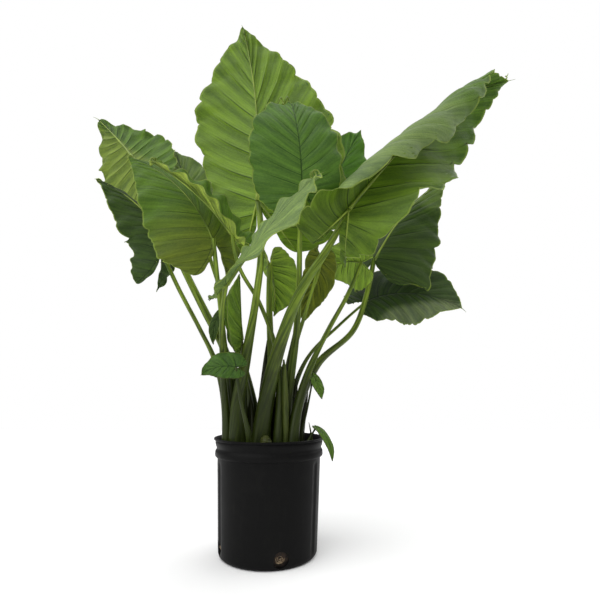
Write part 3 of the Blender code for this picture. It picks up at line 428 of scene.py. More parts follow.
# Old leaf bases that stand between the stems: place on the soil, lean and height, in
# centimetres, and how their radius changes along them
OLD_BASES = (
    (-1.9, 1.6, 0.8, 25.0), (-0.7, -1.4, 1.0, 20.0), (1.6, -1.0, 1.2, 19.0), (2.6, 0.4, 2.0, 22.0),
    (-5.6, -1.0, -1.0, 17.0), (-8.3, 0.2, -1.6, 12.0), (6.6, 1.8, 2.5, 14.0),
    (-1.2, 4.0, -0.3, 15.0), (4.6, -1.4, 1.8, 16.0), (-3.6, -3.4, -0.6, 12.0),
)
BASE_RADII = ((0.0, 1.25), (0.15, 1.35), (0.5, 1.05), (0.8, 0.55), (1.0, 0.05))
BASE_STEPS = 24
BASE_SIDES = 20
BASE_SINK = 0.006


class Shading:
    """A procedural material under construction."""

    def __init__(self, name):
        self.material = bpy.data.materials.new(name)
        self.material.use_nodes = True
        self.tree = self.material.node_tree
        self.shader = self.tree.nodes["Principled BSDF"]
        self.output = self.tree.nodes["Material Output"]

    def put(self, sockets, values):
        """Links or sets the sockets that the values are named after."""
        for key, value in values.items():
            socket = sockets[key]
            if isinstance(value, bpy.types.NodeSocket):
                self.tree.links.new(value, socket)
            else:
                socket.default_value = (*value, 1.0) if socket.type == "RGBA" else value

    def node(self, kind, output, values, **settings):
        """One output of a new node."""
        made = self.tree.nodes.new(kind)
        for key, value in settings.items():
            setattr(made, key, value)
        self.put(made.inputs, values)
        return made.outputs[output]

    def attribute(self, name, output="Fac"):
        return self.node("ShaderNodeAttribute", output, {}, attribute_name=name)

    def place(self):
        return self.node("ShaderNodeTexCoord", "Object", {})

    def part_of(self, vector, axis):
        return self.node("ShaderNodeSeparateXYZ", axis, {"Vector": vector})

    def scaled(self, vector, scale):
        return self.node("ShaderNodeMapping", "Vector", {"Vector": vector, "Scale": scale})

    def noise(self, vector, scale, detail=4.0, rough=0.55):
        values = {"Vector": vector, "Scale": scale, "Detail": detail, "Roughness": rough}
        return self.node("ShaderNodeTexNoise", "Fac", values)

    def cells(self, vector, scale, feature):
        values = {"Vector": vector, "Scale": scale}
        return self.node("ShaderNodeTexVoronoi", "Distance", values, feature=feature)

    def remap(self, value, low, high, to_low=0.0, to_high=1.0):
        values = {"Value": value, "From Min": low, "From Max": high, "To Min": to_low,
                  "To Max": to_high}
        return self.node("ShaderNodeMapRange", "Result", values, interpolation_type="SMOOTHSTEP")

    def calc(self, operation, a, b=0.0):
        return self.node("ShaderNodeMath", 0, {0: a, 1: b}, operation=operation)

    def mix(self, share, a, b, blend="MIX"):
        values = {"Factor": share, 6: a, 7: b}
        return self.node("ShaderNodeMix", 2, values, data_type="RGBA", blend_type=blend)

    def tinted(self, tone, tint):
        return self.mix(1.0, tone, tint, "MULTIPLY")

    def bump(self, height, strength, distance, after=None):
        values = {"Height": height, "Strength": strength, "Distance": distance}
        if after:
            values["Normal"] = after
        return self.node("ShaderNodeBump", "Normal", values)

    def finish(self, tone, rough, **others):
        """The material, with its shader's own sockets set or linked."""
        self.put(self.shader.inputs, {"Base Color": tone, "Roughness": rough})
        self.put(self.shader.inputs, {key.replace("_", " "): value for key, value in others.items()})
        return self.material


def lighter(colour, factor, warm=0.0):
    """The colour made lighter, and yellower by warm."""
    red, green, blue = colour
    return (red * factor * (1 + warm), green * factor, blue * factor * (1 - warm))


def blade_material(name, reach, upper, under, upper_base, under_base):
    """Leaf tissue: mottled, another tone near the stem, painted light on one flank of each vein
    and painted shade on the other, painted shade in the creases at the veins, streaks along
    them, a fine net, a pale margin, and light through it."""
    s = Shading(name)
    flat = s.attribute("flat", "Vector")
    grid = s.attribute("grid", "Vector")
    top = s.attribute("upper")
    broad = s.noise(s.place(), 7.0)
    along = s.calc("ADD", s.attribute("run"), s.remap(broad, 0.3, 0.7, -0.12, 0.12))
    near_stem = s.remap(along, *reach, 0.9, 0.0)
    own = s.mix(top, s.mix(near_stem, under, under_base), s.mix(near_stem, upper, upper_base))
    light = s.tinted(own, LIGHT_TINT)
    deep = s.tinted(own, DEEP_TINT)
    tone = s.mix(0.6, s.mix(s.remap(broad, 0.35, 0.75), deep, light), own)
    # Painted light on one flank of each vein and painted shade on the other, as if light fell across the
    # pleats
    band = s.mix(s.attribute("pleat"), deep, light)
    tone = s.mix(s.remap(top, 0.0, 1.0, 0.60, 0.35), tone, band)
    streak = s.noise(s.scaled(grid, (1.0, 0.35, 1.0)), 5.0, 5.0, 0.65)
    tone = s.mix(0.32, tone, s.mix(s.remap(streak, 0.35, 0.68), deep, light))
    between = s.calc("MULTIPLY", s.part_of(grid, "X"), SIDE_VEINS)
    off_line = s.calc("ABSOLUTE", s.calc("SUBTRACT", s.calc("FRACT", between), 0.5))
    side_vein = s.remap(off_line, 0.02, 0.14, 1.0, 0.0)
    tone = s.mix(s.calc("MULTIPLY", side_vein, 0.28), tone, deep)
    net = s.cells(s.scaled(flat, (1.0, 1.6, 1.0)), 95.0, "DISTANCE_TO_EDGE")
    tone = s.mix(s.calc("MULTIPLY", s.remap(net, 0.0, 0.12, 1.0, 0.0), 0.14), tone, light)
    tone = s.mix(s.remap(s.noise(flat, 260.0, 3.0), 0.45, 0.75, 0.0, 0.25), tone, deep)
    # Painted shade in the creases along the veins and the midrib
    crease = s.remap(s.attribute("vein"), 0.25, 0.9, 0.0, 0.9)
    tone = s.mix(crease, tone, s.tinted(own, CREASE_SHADE_TINT))
    margin = s.calc("MULTIPLY", s.remap(s.attribute("edge"), 0.975, 0.998), 0.8)
    tone = s.mix(margin, tone, MARGIN_TONE)
    relief = s.bump(s.remap(net, 0.0, 0.2), 0.35, 0.0006)
    relief = s.bump(s.noise(flat, 45.0), 0.30, 0.0020, relief)
    relief = s.bump(streak, 0.40, 0.0025, relief)
    relief = s.bump(side_vein, 0.25, -0.0008, relief)
    glow = {"Color": s.tinted(tone, GLOW_TINT), "Normal": relief}
    both = {"Fac": GLOW_SHARE, 1: s.shader.outputs["BSDF"],
            2: s.node("ShaderNodeBsdfTranslucent", "BSDF", glow)}
    s.put(s.output.inputs, {"Surface": s.node("ShaderNodeMixShader", "Shader", both)})
    rough = s.remap(s.noise(flat, 60.0, 3.0), 0.2, 0.8, 0.40, 0.55)
    return s.finish(tone, rough, Normal=relief, Specular_IOR_Level=0.22)


def stem_material(name, tone, shade=0.92):
    """Petiole skin: long streaks, paler wing edges that are partly a painted highlight, a waxy
    gloss, and painted shade that darkens it near the soil.
    """
    s = Shading(name)
    streak = s.noise(s.scaled(s.attribute("flat", "Vector"), (1.0, 0.05, 1.0)), 240.0)
    patch = s.noise(s.place(), 14.0, 3.0)
    here = s.mix(s.remap(streak, 0.35, 0.65), lighter(tone, 0.42, -0.05), lighter(tone, 1.35, 0.10))
    here = s.mix(s.remap(patch, 0.4, 0.8, 0.0, 0.6), here, lighter(tone, 0.35, -0.2))
    # Paler wing edges: partly the skin's own colour, partly a painted highlight on the ridges
    here = s.mix(s.calc("MULTIPLY", s.attribute("vein"), 0.8), here, lighter(tone, 1.9, 0.1))
    height = s.calc("ADD", s.part_of(s.place(), "Z"), s.remap(patch, 0.3, 0.7, -0.05, 0.05))
    # Painted shade: stems, growths and old bases darken towards the soil, where the clump shades them
    here = s.mix(s.remap(height, *SOIL_SHADE_HEIGHTS, shade, 0.0), here, lighter(tone, 0.06))
    return s.finish(here, s.remap(streak, 0.2, 0.8, 0.34, 0.48), Specular_IOR_Level=0.2,
                    Normal=s.bump(streak, 0.35, 0.0008), Subsurface_Weight=0.08,
                    Subsurface_Radius=(0.004, 0.006, 0.002))


def pot_material():
    """Black moulded plastic with a faint grain, flow marks and patches of dust."""
    s = Shading("pot_plastic")
    place = s.place()
    # On the pot the second of these tones is dust on the plastic
    black, dusty, marked = PLASTIC_TONES
    dust = s.noise(place, 26.0, 6.0, 0.65)
    streak = s.noise(s.scaled(place, (1.0, 1.0, 0.12)), 120.0, 3.0)
    tone = s.mix(s.remap(dust, 0.45, 0.85, 0.0, 0.5), black, dusty)
    tone = s.mix(s.remap(streak, 0.55, 0.8, 0.0, 0.25), tone, marked)
    grain = s.bump(s.noise(place, 1500.0, 2.0), 0.15, 0.0002)
    return s.finish(tone, s.remap(dust, 0.3, 0.8, 0.38, 0.50), Specular_IOR_Level=0.05,
                    Normal=s.bump(streak, 0.15, 0.0006, grain))


def soil_material():
    """Dark peat with paler chips."""
    s = Shading("soil_peat")
    place = s.place()
    dark, brown, chip = PEAT_TONES
    lump = s.noise(place, 180.0, 8.0, 0.7)
    tone = s.mix(s.remap(lump, 0.35, 0.65), dark, brown)
    tone = s.mix(s.remap(s.cells(place, 260.0, "F1"), 0.0, 0.25, 0.5, 0.0), tone, chip)
    return s.finish(tone, s.remap(lump, 0.3, 0.7, 0.8, 1.0), Normal=s.bump(lump, 0.9, 0.004))


def root_material():
    """Pale root skin with brown patches."""
    s = Shading("root_skin")
    patch = s.noise(s.place(), 160.0, 5.0)
    tone = s.mix(s.remap(patch, 0.35, 0.7), *ROOT_TONES)
    return s.finish(tone, s.remap(patch, 0.3, 0.7, 0.5, 0.75), Normal=s.bump(patch, 0.5, 0.001))


def floor_material():
    """A plain pale studio floor."""
    s = Shading("studio_floor")
    return s.finish(s.mix(s.noise(s.place(), 1.5, 2.0), *STUDIO_TONES), 0.9)


def unit(v):
    return v / np.linalg.norm(v, axis=-1, keepdims=True)


def directions(path):
    return unit(np.gradient(path, axis=0))


def run_along(path):
    """How far along the path each of its points is."""
    return np.concatenate([[0], np.cumsum(np.linalg.norm(np.diff(path, axis=0), axis=1))])


def curve(t, gap, start, end, leave, arrive):
    """A smooth curve from start to end, with its slopes there."""
    return ((2 * t**3 - 3 * t**2 + 1) * start + (t**3 - 2 * t**2 + t) * gap * leave
            + (3 * t**2 - 2 * t**3) * end + (t**3 - t**2) * gap * arrive)


def smooth_path(points, first_direction, count):
    """Evenly spread points of a smooth curve through the given ones, and the curve's length."""
    points = np.asarray(points, float)
    gaps = np.linalg.norm(np.diff(points, axis=0), axis=1)
    ways = unit(np.diff(points, axis=0))
    slopes = np.zeros_like(points)
    for i in range(1, len(points) - 1):
        slopes[i] = unit(ways[i - 1] * gaps[i] + ways[i] * gaps[i - 1])
    bends = len(points) > 2
    slopes[0] = unit(2 * ways[0] - slopes[1]) if bends else ways[0]
    if first_direction is not None:
        slopes[0] = first_direction
    slopes[-1] = unit(2 * ways[-1] - slopes[-2]) if bends else ways[-1]
    fine = [curve(t, gap, points[i], points[i + 1], slopes[i], slopes[i + 1])
            for i, gap in enumerate(gaps) for t in np.linspace(0, 1, 24, endpoint=False)]
    fine = np.array(fine + [points[-1]])
    run = run_along(fine)
    wanted = np.linspace(0, run[-1], count)
    return np.stack([np.interp(wanted, run, fine[:, k]) for k in range(3)], 1), run[-1]


def smooth_interp(x, knots, values):
    """A smooth curve through the values at the knots."""
    knots = np.asarray(knots, float)
    values = np.asarray(values, float)
    slopes = np.gradient(values, knots)
    i = np.clip(np.searchsorted(knots, x, side="right") - 1, 0, len(knots) - 2)
    gap = knots[i + 1] - knots[i]
    return curve((x - knots[i]) / gap, gap, values[i], values[i + 1], slopes[i], slopes[i + 1])


def between_rows(rows, share):
    """The rows blended, from the first one at share 0 to the last one at share 1."""
    at = share * (len(rows) - 1)
    low = np.minimum(at.astype(int), len(rows) - 2)
    part = (at - low)[:, None]
    return rows[low] * (1 - part) + rows[low + 1] * part


def noise_at(points, scale, seed):
    shift = Vector((seed * 3.7, seed * 1.3, seed * 2.1))
    return np.array([noise.noise(Vector(p) * scale + shift) for p in points])


def pair(value):
    """A setting for the left and the right half, given as one value or as two."""
    left, right = np.broadcast_to(value, 2)
    return {-1: float(left), 1: float(right)}


class Blade:
    """The middle surface of one blade, as a function of flat leaf coordinates."""

    def __init__(self, spec):
        self.spec = spec
        points = [np.array(p) * CM for p in [spec["stem"][-1]] + spec["rib"]]
        self.rib, self.length = smooth_path(points, None, RIB_POINTS)
        self.ahead = directions(self.rib)
        self.lobe_length = spec["lobe"] * CM
        places = spec.get("places", FOLD_PLACES)
        self.set_at = [p * (self.length if p > 0 else self.lobe_length) for p in places]
        self.belly = pair(spec["belly"])
        splay = pair(spec.get("splay", COMMON_SPLAY))
        self.spread = {side: splay[side] * (1 - 0.35 * self.belly[side]) for side in (-1, 1)}
        self.bend = (math.radians(spec.get("lift", 0)) or 1e-6) / self.lobe_length
        self.face = np.array(spec["face"], float)
        self.random = random.Random(spec["name"])
        self.phase = {side: self.random.uniform(0, TURN) for side in (-1, 1)}
        self.width = pair(np.array(spec["width"]) * CM)

    def frames(self, y):
        """Places on the midrib's line and the directions ahead, across and up there."""
        on_rib = np.clip(y / self.length, 0.0, 1.0)
        place = between_rows(self.rib, on_rib)
        ahead = unit(between_rows(self.ahead, on_rib))
        up = between_rows(self.face, on_rib)
        up = unit(up - ahead * (up * ahead).sum(1, keepdims=True))
        across = np.cross(ahead, up)
        turn = (-self.bend * np.minimum(y, 0.0))[:, None]
        place = place - ahead * np.sin(turn) / self.bend + up * (1 - np.cos(turn)) / self.bend
        tilted = ahead * np.cos(turn) - up * np.sin(turn)
        return place, tilted, across, up * np.cos(turn) + ahead * np.sin(turn)

    def frame_at(self, y):
        return [part[0] for part in self.frames(np.array([y]))]

    def points(self, side, x, y, edge, wave_place, proud):
        """Surface points x across and y along on one half, raised by proud."""
        fold, droop = self.spec["right" if side > 0 else "left"]
        angle = np.radians(np.interp(y, self.set_at, fold))
        bend = np.radians(np.interp(y, self.set_at, droop)) / self.width[side]
        bend = np.where(np.abs(bend) < 1e-6, 1e-6, bend)
        place, ahead, across, up = self.frames(y)
        now = angle - bend * x
        out = ((np.sin(angle) - np.sin(now)) / bend)[:, None]
        rise = ((np.cos(now) - np.cos(angle)) / bend)[:, None]
        normal = up * np.cos(now)[:, None] - side * across * np.sin(now)[:, None]
        wave = np.sin(TURN * self.spec["waves"] * wave_place + self.phase[side])
        lift = self.spec["ruffle"] * CM * edge ** 2.5 * wave + proud
        return place + side * across * out + up * rise + normal * lift[:, None]

    def edge_points(self, side, place):
        """Flat coordinates of the edge points whose veins leave the rib at the given places."""
        rows = OUTLINE[::-1]
        belly = self.belly[side]
        knots = [-1.0] + [row[0] for row in rows] + [1.0]
        across = [row[1] * (1 - belly) + row[2] * belly for row in rows]
        along = [row[3] * (self.length if row[3] > 0 else self.lobe_length) for row in rows]
        wide = smooth_interp(place, knots, [self.spread[side]] + across + [0.0])
        far = smooth_interp(place, knots, [-self.lobe_length] + along + [self.length])
        return np.maximum(wide, 0.0) * self.width[side], far

    def rib_points(self, side, place):
        """Flat coordinates of the places on the midrib and on the lobe's rib."""
        reach = self.spread[side] * self.width[side]
        back = np.minimum(place, 0.0)
        return -back * reach, np.maximum(place, 0.0) * self.length + back * self.lobe_length

    def locate(self, side, x, y):
        """The place and the part of the solid's own vein line through each flat point."""
        low = np.full(x.shape, -1.0)
        high = np.full(x.shape, 1.0)
        for step in range(24):
            place = (low + high) / 2
            rib_x, rib_y = self.rib_points(side, place)
            edge_x, edge_y = self.edge_points(side, place)
            ahead = (edge_x - rib_x) * (y - rib_y) > (edge_y - rib_y) * (x - rib_x)
            low = np.where(ahead, place, low)
            high = np.where(ahead, high, place)
        span = np.hypot(edge_x - rib_x, edge_y - rib_y)
        part = np.hypot(x - rib_x, y - rib_y) / np.maximum(span, 1e-6)
        return place, np.clip(part, 0.0, 1.0)


def stations(blade, side):
    """Numbers of the veins and places on the rib, closer together beside each vein."""
    ahead_veins, lobe_veins, per_vein, columns = DETAIL[blade.spec["size"]]
    even = np.arange(-lobe_veins * per_vein, math.ceil(ahead_veins * per_vein) + 1) / per_vein
    number = even - STATION_CROWDING * np.sin(TURN * even)
    sway = 0.10 * (np.sin(2.3 * number + blade.phase[side]) - math.sin(blade.phase[side]))
    sway = sway * np.clip(number, 0.0, 1.0)
    place = np.where(number < 0, number / lobe_veins, (number + sway) / ahead_veins)
    keep = (place > -0.995) & (place < 0.99)
    place = np.concatenate([[-1.0], place[keep], [1.0]])
    number = np.concatenate([[-lobe_veins], number[keep], [ahead_veins]])
    return number, place, columns


def half_patch(blade, look, side, inner):
    """One half of the blade, or the strip of its lobe inside the lobe's rib, as a grid."""
    name = blade.spec["name"]
    wave_knots = WAVE_KNOTS[blade.spec["size"]]
    number, place, columns = stations(blade, side)
    if inner:
        keep = place <= 1e-9
        number, place, columns = number[keep], place[keep], max(4, columns // 3)
    number, part = np.meshgrid(number, np.linspace(0, 1, columns + 1), indexing="ij")
    place = np.repeat(place[:, None], columns + 1, axis=1)
    shape = place.shape
    number, part, place = number.ravel(), part.ravel(), place.ravel()
    lobe_fade = np.clip((-place - 0.75) / 0.25, 0, 1) ** 2
    tip_fade = np.clip((place - 0.88) / 0.12, 0, 1) ** 2
    fade = (1 - lobe_fade) * (1 - tip_fade)
    rib_x, rib_y = blade.rib_points(side, place)
    if inner:
        bulge = LOBE_INNER_BULGE * np.sin(math.pi * -place) * blade.lobe_length
        slim = np.maximum(rib_x * (1 - 0.1 * place) - bulge - SINUS * rib_x, 0.12 * rib_x)
        slim = np.minimum(np.maximum(slim, LOBE_LEAST_STRIP), rib_x * 0.75)
        x = rib_x + (slim - rib_x) * part * np.sqrt(1 - lobe_fade)
        y = rib_y
        edge = 0.6 * lobe_fade
        rim = part * 0.9
        wave_place = np.interp(place, *wave_knots)
    else:
        edge_x, edge_y = blade.edge_points(side, smooth_interp(place, *VEIN_TARGETS))
        bow = VEIN_BOW * blade.length * np.sin(math.pi * part) * np.clip(1 - np.abs(place), 0, 1)
        x = rib_x + (edge_x - rib_x) * part
        y = rib_y + (edge_y - rib_y) * part - bow * np.clip(place * 8, 0, 1)
        line, across_line = blade.locate(side, x, y)
        wave_place = np.interp(line, *wave_knots)
        edge = (across_line + (0.6 - across_line) * lobe_fade) * (1 - tip_fade)
        scallop = np.abs(np.sin(math.pi * number)) ** 0.7 - 0.6
        small = np.abs(np.sin(1.6 * math.pi * number + blade.phase[side])) ** 0.6 - 0.6
        bays = SCALLOP * BAYS.get(name, 1.0) * scallop + 0.8 * SCALLOP * small
        x = x * (1 + bays * part ** 8 * fade)
        rim = part
    flat = np.stack([side * x, y, np.zeros_like(x)], 1)
    seed = blade.random.uniform(0, 50)
    pitch = blade.length / DETAIL[blade.spec["size"]][0]
    proud = relief_of(look, number, part, rim, fade, flat, seed, pitch)
    points = blade.points(side, x, y, edge, wave_place, proud)
    slim_vein = VEIN_WIDTH * (1 - 0.6 * part) * max(0.6, blade.length / 0.5) / pitch
    vein = np.exp(-((number - np.round(number)) / slim_vein) ** 2) * (1 - 0.55 * rim ** 3)
    main = 0.75 * np.exp(-((x - rib_x) / (RIB_LINE * min(1.0, blade.length / 0.2))) ** 2)
    # vein also marks where the creases get painted shade
    values = {"vein": np.maximum(vein, main) * np.clip(1.45 - rim, 0, 1), "edge": rim, "flat": flat,
              # pleat: where each vein's flank is painted lit or shaded
              "pleat": 0.5 + 0.5 * np.cos(TURN * (number - LIT_FLANK_SHIFT)) * fade,
              "grid": np.stack([number, part, np.full_like(part, seed)], 1),
              "run": (y + TONE_SLANT.get(name, 0.0) * side * x) / blade.length}
    index = np.arange(len(points)).reshape(shape)
    quads = np.stack([index[:-1, :-1], index[:-1, 1:], index[1:, 1:], index[1:, :-1]], -1)
    quads = quads.reshape(-1, 4)
    if (side < 0) != inner:
        quads = quads[:, ::-1]
    return points, quads, values, points[index[:, -1]]


def relief_of(look, number, part, rim, fade, flat, seed, pitch):
    """How far pleats, creases and small ruffles raise the surface."""
    pleat, frill, crease = look[1:4]
    away = np.clip(part * 4, 0, 1) * fade
    hump = np.abs(np.sin(math.pi * number)) ** 0.9
    proud = pleat * CM * (hump - 0.5) * away * np.sin(math.pi * np.clip(part, 0, 0.93))
    proud += crease * CM * noise_at(flat, 14.0, seed) * away
    run = TURN * flat[:, 1]
    wave = np.sin(run / max(pitch, FRILL_LONG) + 2.5 * noise_at(flat, 5.0, seed + 7))
    wave += 0.45 * np.sin(run / FRILL_SHORT + 1.0 + 2.5 * noise_at(flat, 8.0, seed + 9))
    return proud + frill * CM * wave * rim ** 4 * fade


def merge(patches):
    """Joins grids into one surface, with the points that they share made one."""
    offsets = np.cumsum([0] + [len(p[0]) for p in patches[:-1]])
    points = np.concatenate([p[0] for p in patches])
    quads = np.concatenate([p[1] + o for p, o in zip(patches, offsets)])
    values = {k: np.concatenate([p[2][k] for p in patches]) for k in patches[0][2]}
    key = np.round(points / 2e-6).astype(np.int64)
    found, first, inverse = np.unique(key, axis=0, return_index=True, return_inverse=True)
    return points[first], inverse.ravel()[quads], {k: v[first] for k, v in values.items()}


def split_quads(quads):
    """Whole quads, and triangles where two corners of a quad are the same point."""
    whole = []
    for quad in quads.tolist():
        corners = [c for i, c in enumerate(quad) if c != quad[i - 1]]
        if len(set(corners)) == len(corners) and len(corners) > 2:
            whole.append(tuple(corners))
    return whole


def open_edges(faces):
    """The edges that only one of the faces has, in that face's direction."""
    edges = {}
    for face in faces:
        for a, b in zip(face, face[1:] + face[:1]):
            if edges.pop((b, a), None) is None:
                edges[(a, b)] = True
    return edges


def surface_normals(points, quads):
    normals = np.zeros_like(points)
    a, b, c, d = (points[quads[:, i]] for i in range(4))
    face = np.cross(c - a, d - b)
    for i in range(4):
        np.add.at(normals, quads[:, i], face)
    return normals / np.maximum(np.linalg.norm(normals, axis=1), 1e-12)[:, None]


def ring_faces(rings, sides, first=0):
    """The quads between closed rings of points."""
    faces = []
    for ring in range(rings - 1):
        for k in range(sides):
            a = first + ring * sides + k
            b = first + ring * sides + (k + 1) % sides
            faces.append((a, b, b + sides, a + sides))
    return faces


class Build:
    """Points, faces and point values of one piece as it grows."""

    def __init__(self):
        self.points = []
        self.faces = []
        self.finish = []
        self.values = {key: [] for key in POINT_NUMBERS + POINT_VECTORS}
        self.count = 0

    def add(self, points, faces, finish, **values):
        count = len(points)
        self.points.append(np.asarray(points, float))
        self.faces += [tuple(i + self.count for i in face) for face in faces]
        self.finish += [finish] * len(faces)
        for key, store in self.values.items():
            width = (count, 3) if key in POINT_VECTORS else (count,)
            store.append(np.broadcast_to(np.asarray(values.get(key, 0.0), float), width))
        self.count += count

    def make(self, name, materials):
        mesh = bpy.data.meshes.new(name)
        mesh.from_pydata(np.concatenate(self.points).tolist(), [], self.faces)
        for material in materials:
            mesh.materials.append(material)
        mesh.polygons.foreach_set("material_index", self.finish)
        for key, store in self.values.items():
            vector = key in POINT_VECTORS
            layer = mesh.attributes.new(key, "FLOAT_VECTOR" if vector else "FLOAT", "POINT")
            data = np.concatenate(store).astype(np.float32).ravel()
            layer.data.foreach_set("vector" if vector else "value", data)
        mesh.shade_smooth()
        mesh.update()
        made = bpy.data.objects.new(name, mesh)
        bpy.context.scene.collection.objects.link(made)
        return made


def add_blade(build, blade, look):
    """The blade as a thin sheet, thicker along its veins, with its rolled margin."""
    patches = [half_patch(blade, look, side, inner) for side in (-1, 1) for inner in (False, True)]
    points, quads, values = merge(patches)
    normals = surface_normals(points, quads)
    ridge = VEIN_RIDGE * values["vein"]
    top = points + normals * (BLADE_THICKNESS / 2 - 0.25 * ridge)[:, None]
    bottom = points - normals * (BLADE_THICKNESS / 2 + ridge)[:, None]
    count = len(points)
    faces = split_quads(quads)
    solid = faces + [tuple(i + count for i in reversed(face)) for face in faces]
    solid += [(b, a, a + count, b + count) for a, b in open_edges(faces)]
    both = {k: np.concatenate([v, v]) for k, v in values.items()}
    both["upper"] = np.repeat((1.0, 0.0), count)
    build.add(np.concatenate([top, bottom]), solid, 0, **both)
    for margin in (patches[0][3], patches[2][3]):
        add_tube(build, 2, margin, np.full(len(margin), MARGIN_RADIUS), MARGIN_SIDES)


def tube(path, radii, sides, groove=0.0, toward=(0.0, 0.0, 1.0), seed=0.0):
    """A rod along a path. A grooved one has two raised wings beside its channel."""
    path = np.asarray(path, float)
    run = run_along(path)
    side = np.array(toward, float)
    turns = TURN * np.arange(sides) / sides
    off = np.minimum(turns, TURN - turns)
    lips = np.exp(-((off - 0.75) / 0.22) ** 2)
    channel = np.exp(-(off / 0.5) ** 2)
    points, flat, wing = [], [], []
    groove = np.broadcast_to(groove, len(path))
    for centre, forward, radius, far, cut in zip(path, directions(path), radii, run, groove):
        side = unit(side - forward * side.dot(forward))
        other = np.cross(forward, side)
        here = radius * (1 - CHANNEL_DEPTH * cut * channel + WING_RISE * cut * lips)
        here = here * (1 + 0.03 * np.sin(3 * turns + 9 * far + seed))
        around = (np.cos(turns) * here)[:, None] * side
        points.append(centre + around + (np.sin(turns) * here)[:, None] * other)
        flat.append(np.stack([turns * radius, np.full(sides, far), np.full(sides, seed)], 1))
        wing.append(lips * cut)
    faces = ring_faces(len(path), sides)
    last = (len(path) - 1) * sides
    faces += [tuple(range(sides - 1, -1, -1)), tuple(range(last, last + sides))]
    high = np.repeat(run / run[-1], sides)
    return np.concatenate(points), faces, np.concatenate(flat), np.concatenate(wing), high


def add_tube(build, finish, path, radii, sides, **settings):
    points, faces, flat, wing, high = tube(path, radii, sides, **settings)
    build.add(points, faces, finish, flat=flat, vein=wing, edge=high)


def stem_route(spec):
    """The stem from below the soil's surface up to the blade."""
    x, y = spec["stem"][0]
    foot = np.array((x * CM, y * CM, SOIL_TOP + FOOT_RISE))
    points = [foot] + [np.array(p) * CM for p in spec["stem"][1:]]
    reach = sum(np.linalg.norm(b - a) for a, b in zip(points, points[1:]))
    path, length = smooth_path(points, UP, max(8, round(reach / STEM_RING_STEP)))
    return np.vstack([foot - UP * (STEM_DEPTH + FOOT_RISE), path])


def add_stem(build, spec, blade):
    """The stem, the midrib that it runs on in, and the ribs of the two lobes."""
    low, high = (r * CM for r in spec["radius"])
    path = stem_route(spec)
    share = np.linspace(0, 1, len(path) - 1)
    radii = low + (high - low) * share ** 0.75
    if low < CM:
        radii = radii * (1 + SHEATH_FLARE * np.clip(1 - share / SHEATH_REACH, 0.0, 1.0))
    radii = np.concatenate([radii[:1], radii])
    groove = np.concatenate([[1.0], np.clip(1.15 - 1.3 * share, 0.0, 1.0)])
    inward = np.array((-path[0][0], -path[0][1] + 0.001, 0.15))
    add_tube(build, 1, path, radii, STEM_SIDES, groove=groove, toward=inward, seed=blade.phase[1])
    rib_at = np.linspace(0.0, RIB_END, RIB_RINGS)
    place, ahead, across, up = blade.frames(rib_at * blade.length)
    rib_radii = np.interp(rib_at, (0.0, 0.25, 0.86, 1.0), (0.8 * high, 0.38 * high, 0.0010, 0.0005))
    add_tube(build, 2, place - up * rib_radii[:, None], rib_radii, RIB_SIDES, seed=1.0)
    lobe_at = np.linspace(0.0, LOBE_RIB_END, LOBE_RIB_RINGS)
    lobe_radii = np.linspace(0.42 * high, 0.0007, LOBE_RIB_RINGS)
    wave_place = np.interp(lobe_at, *WAVE_KNOTS[spec["size"]])
    for side in (-1, 1):
        x, y = blade.rib_points(side, lobe_at)
        lobe_path = blade.points(side, x, y, np.zeros_like(x), wave_place, -lobe_radii)
        add_tube(build, 2, lobe_path, lobe_radii, LOBE_RIB_SIDES, seed=2.0)


def add_thread(build, blade, length):
    """The dry thread that a blade's tip ends in."""
    place, ahead, across, up = blade.frame_at(blade.length)
    share = np.linspace(0, 1, THREAD_RINGS)[:, None]
    path = place + ahead * share * length
    path = path + (up * -0.5 + across * 0.3) * share ** 2 * length * 0.4
    radii = np.linspace(*THREAD_RADII, THREAD_RINGS)
    add_tube(build, 2, path - ahead * THREAD_OVERLAP, radii, THREAD_SIDES)


def add_curls(build, blade, reach):
    """The rolled, dry end of the margin, which coils to one side of the tip."""
    place, ahead, across, up = blade.frame_at(RIB_END * blade.length)
    share = np.linspace(0, 1, CURL_RINGS)
    loop = 0.20 * abs(reach) * np.sin(math.pi * np.clip(share * 1.4, 0, 1)) ** 0.5
    wind = TURN * CURL_TURNS * share
    path = place + across * (reach * share)[:, None] + ahead * (loop * np.sin(wind))[:, None]
    path = path + up * (loop * (1 - np.cos(wind)))[:, None]
    add_tube(build, 2, path, np.linspace(*CURL_RADII, CURL_RINGS), CURL_SIDES)


def build_leaf(spec, materials):
    look = LOOKS[spec["name"]]
    thread, curls = look[-2:]
    blade = Blade(spec)
    build = Build()
    add_blade(build, blade, look)
    add_stem(build, spec, blade)
    add_thread(build, blade, thread * CM)
    if curls:
        add_curls(build, blade, curls * CM)
    leaf = build.make(spec["name"] + "_fine", materials)
    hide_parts(spec["name"])
    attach(leaf, "root")


def flutes(turns):
    """How far the flutes press the wall in at the given angles."""
    depth = 0.0
    for angle in np.radians(FLUTE_ANGLES):
        off = np.abs((turns - angle + math.pi) % TURN - math.pi)
        depth = depth + np.exp(-(off / math.radians(FLUTE_HALF_WIDTH)) ** 4)
    return FLUTE_DEPTH * depth


def lathe(profile, steps, fluted=()):
    """A turned surface from (radius, height) points, ends left open, and its fluted rows."""
    turns = TURN * np.arange(steps) / steps - math.pi / 2
    points = []
    for row, (radius, height) in enumerate(profile):
        here = radius - flutes(turns) if row in fluted else np.full(steps, radius)
        points.append(np.stack([here * np.cos(turns), here * np.sin(turns), np.full(steps, height)], 1))
    return np.concatenate(points), ring_faces(len(profile), steps)


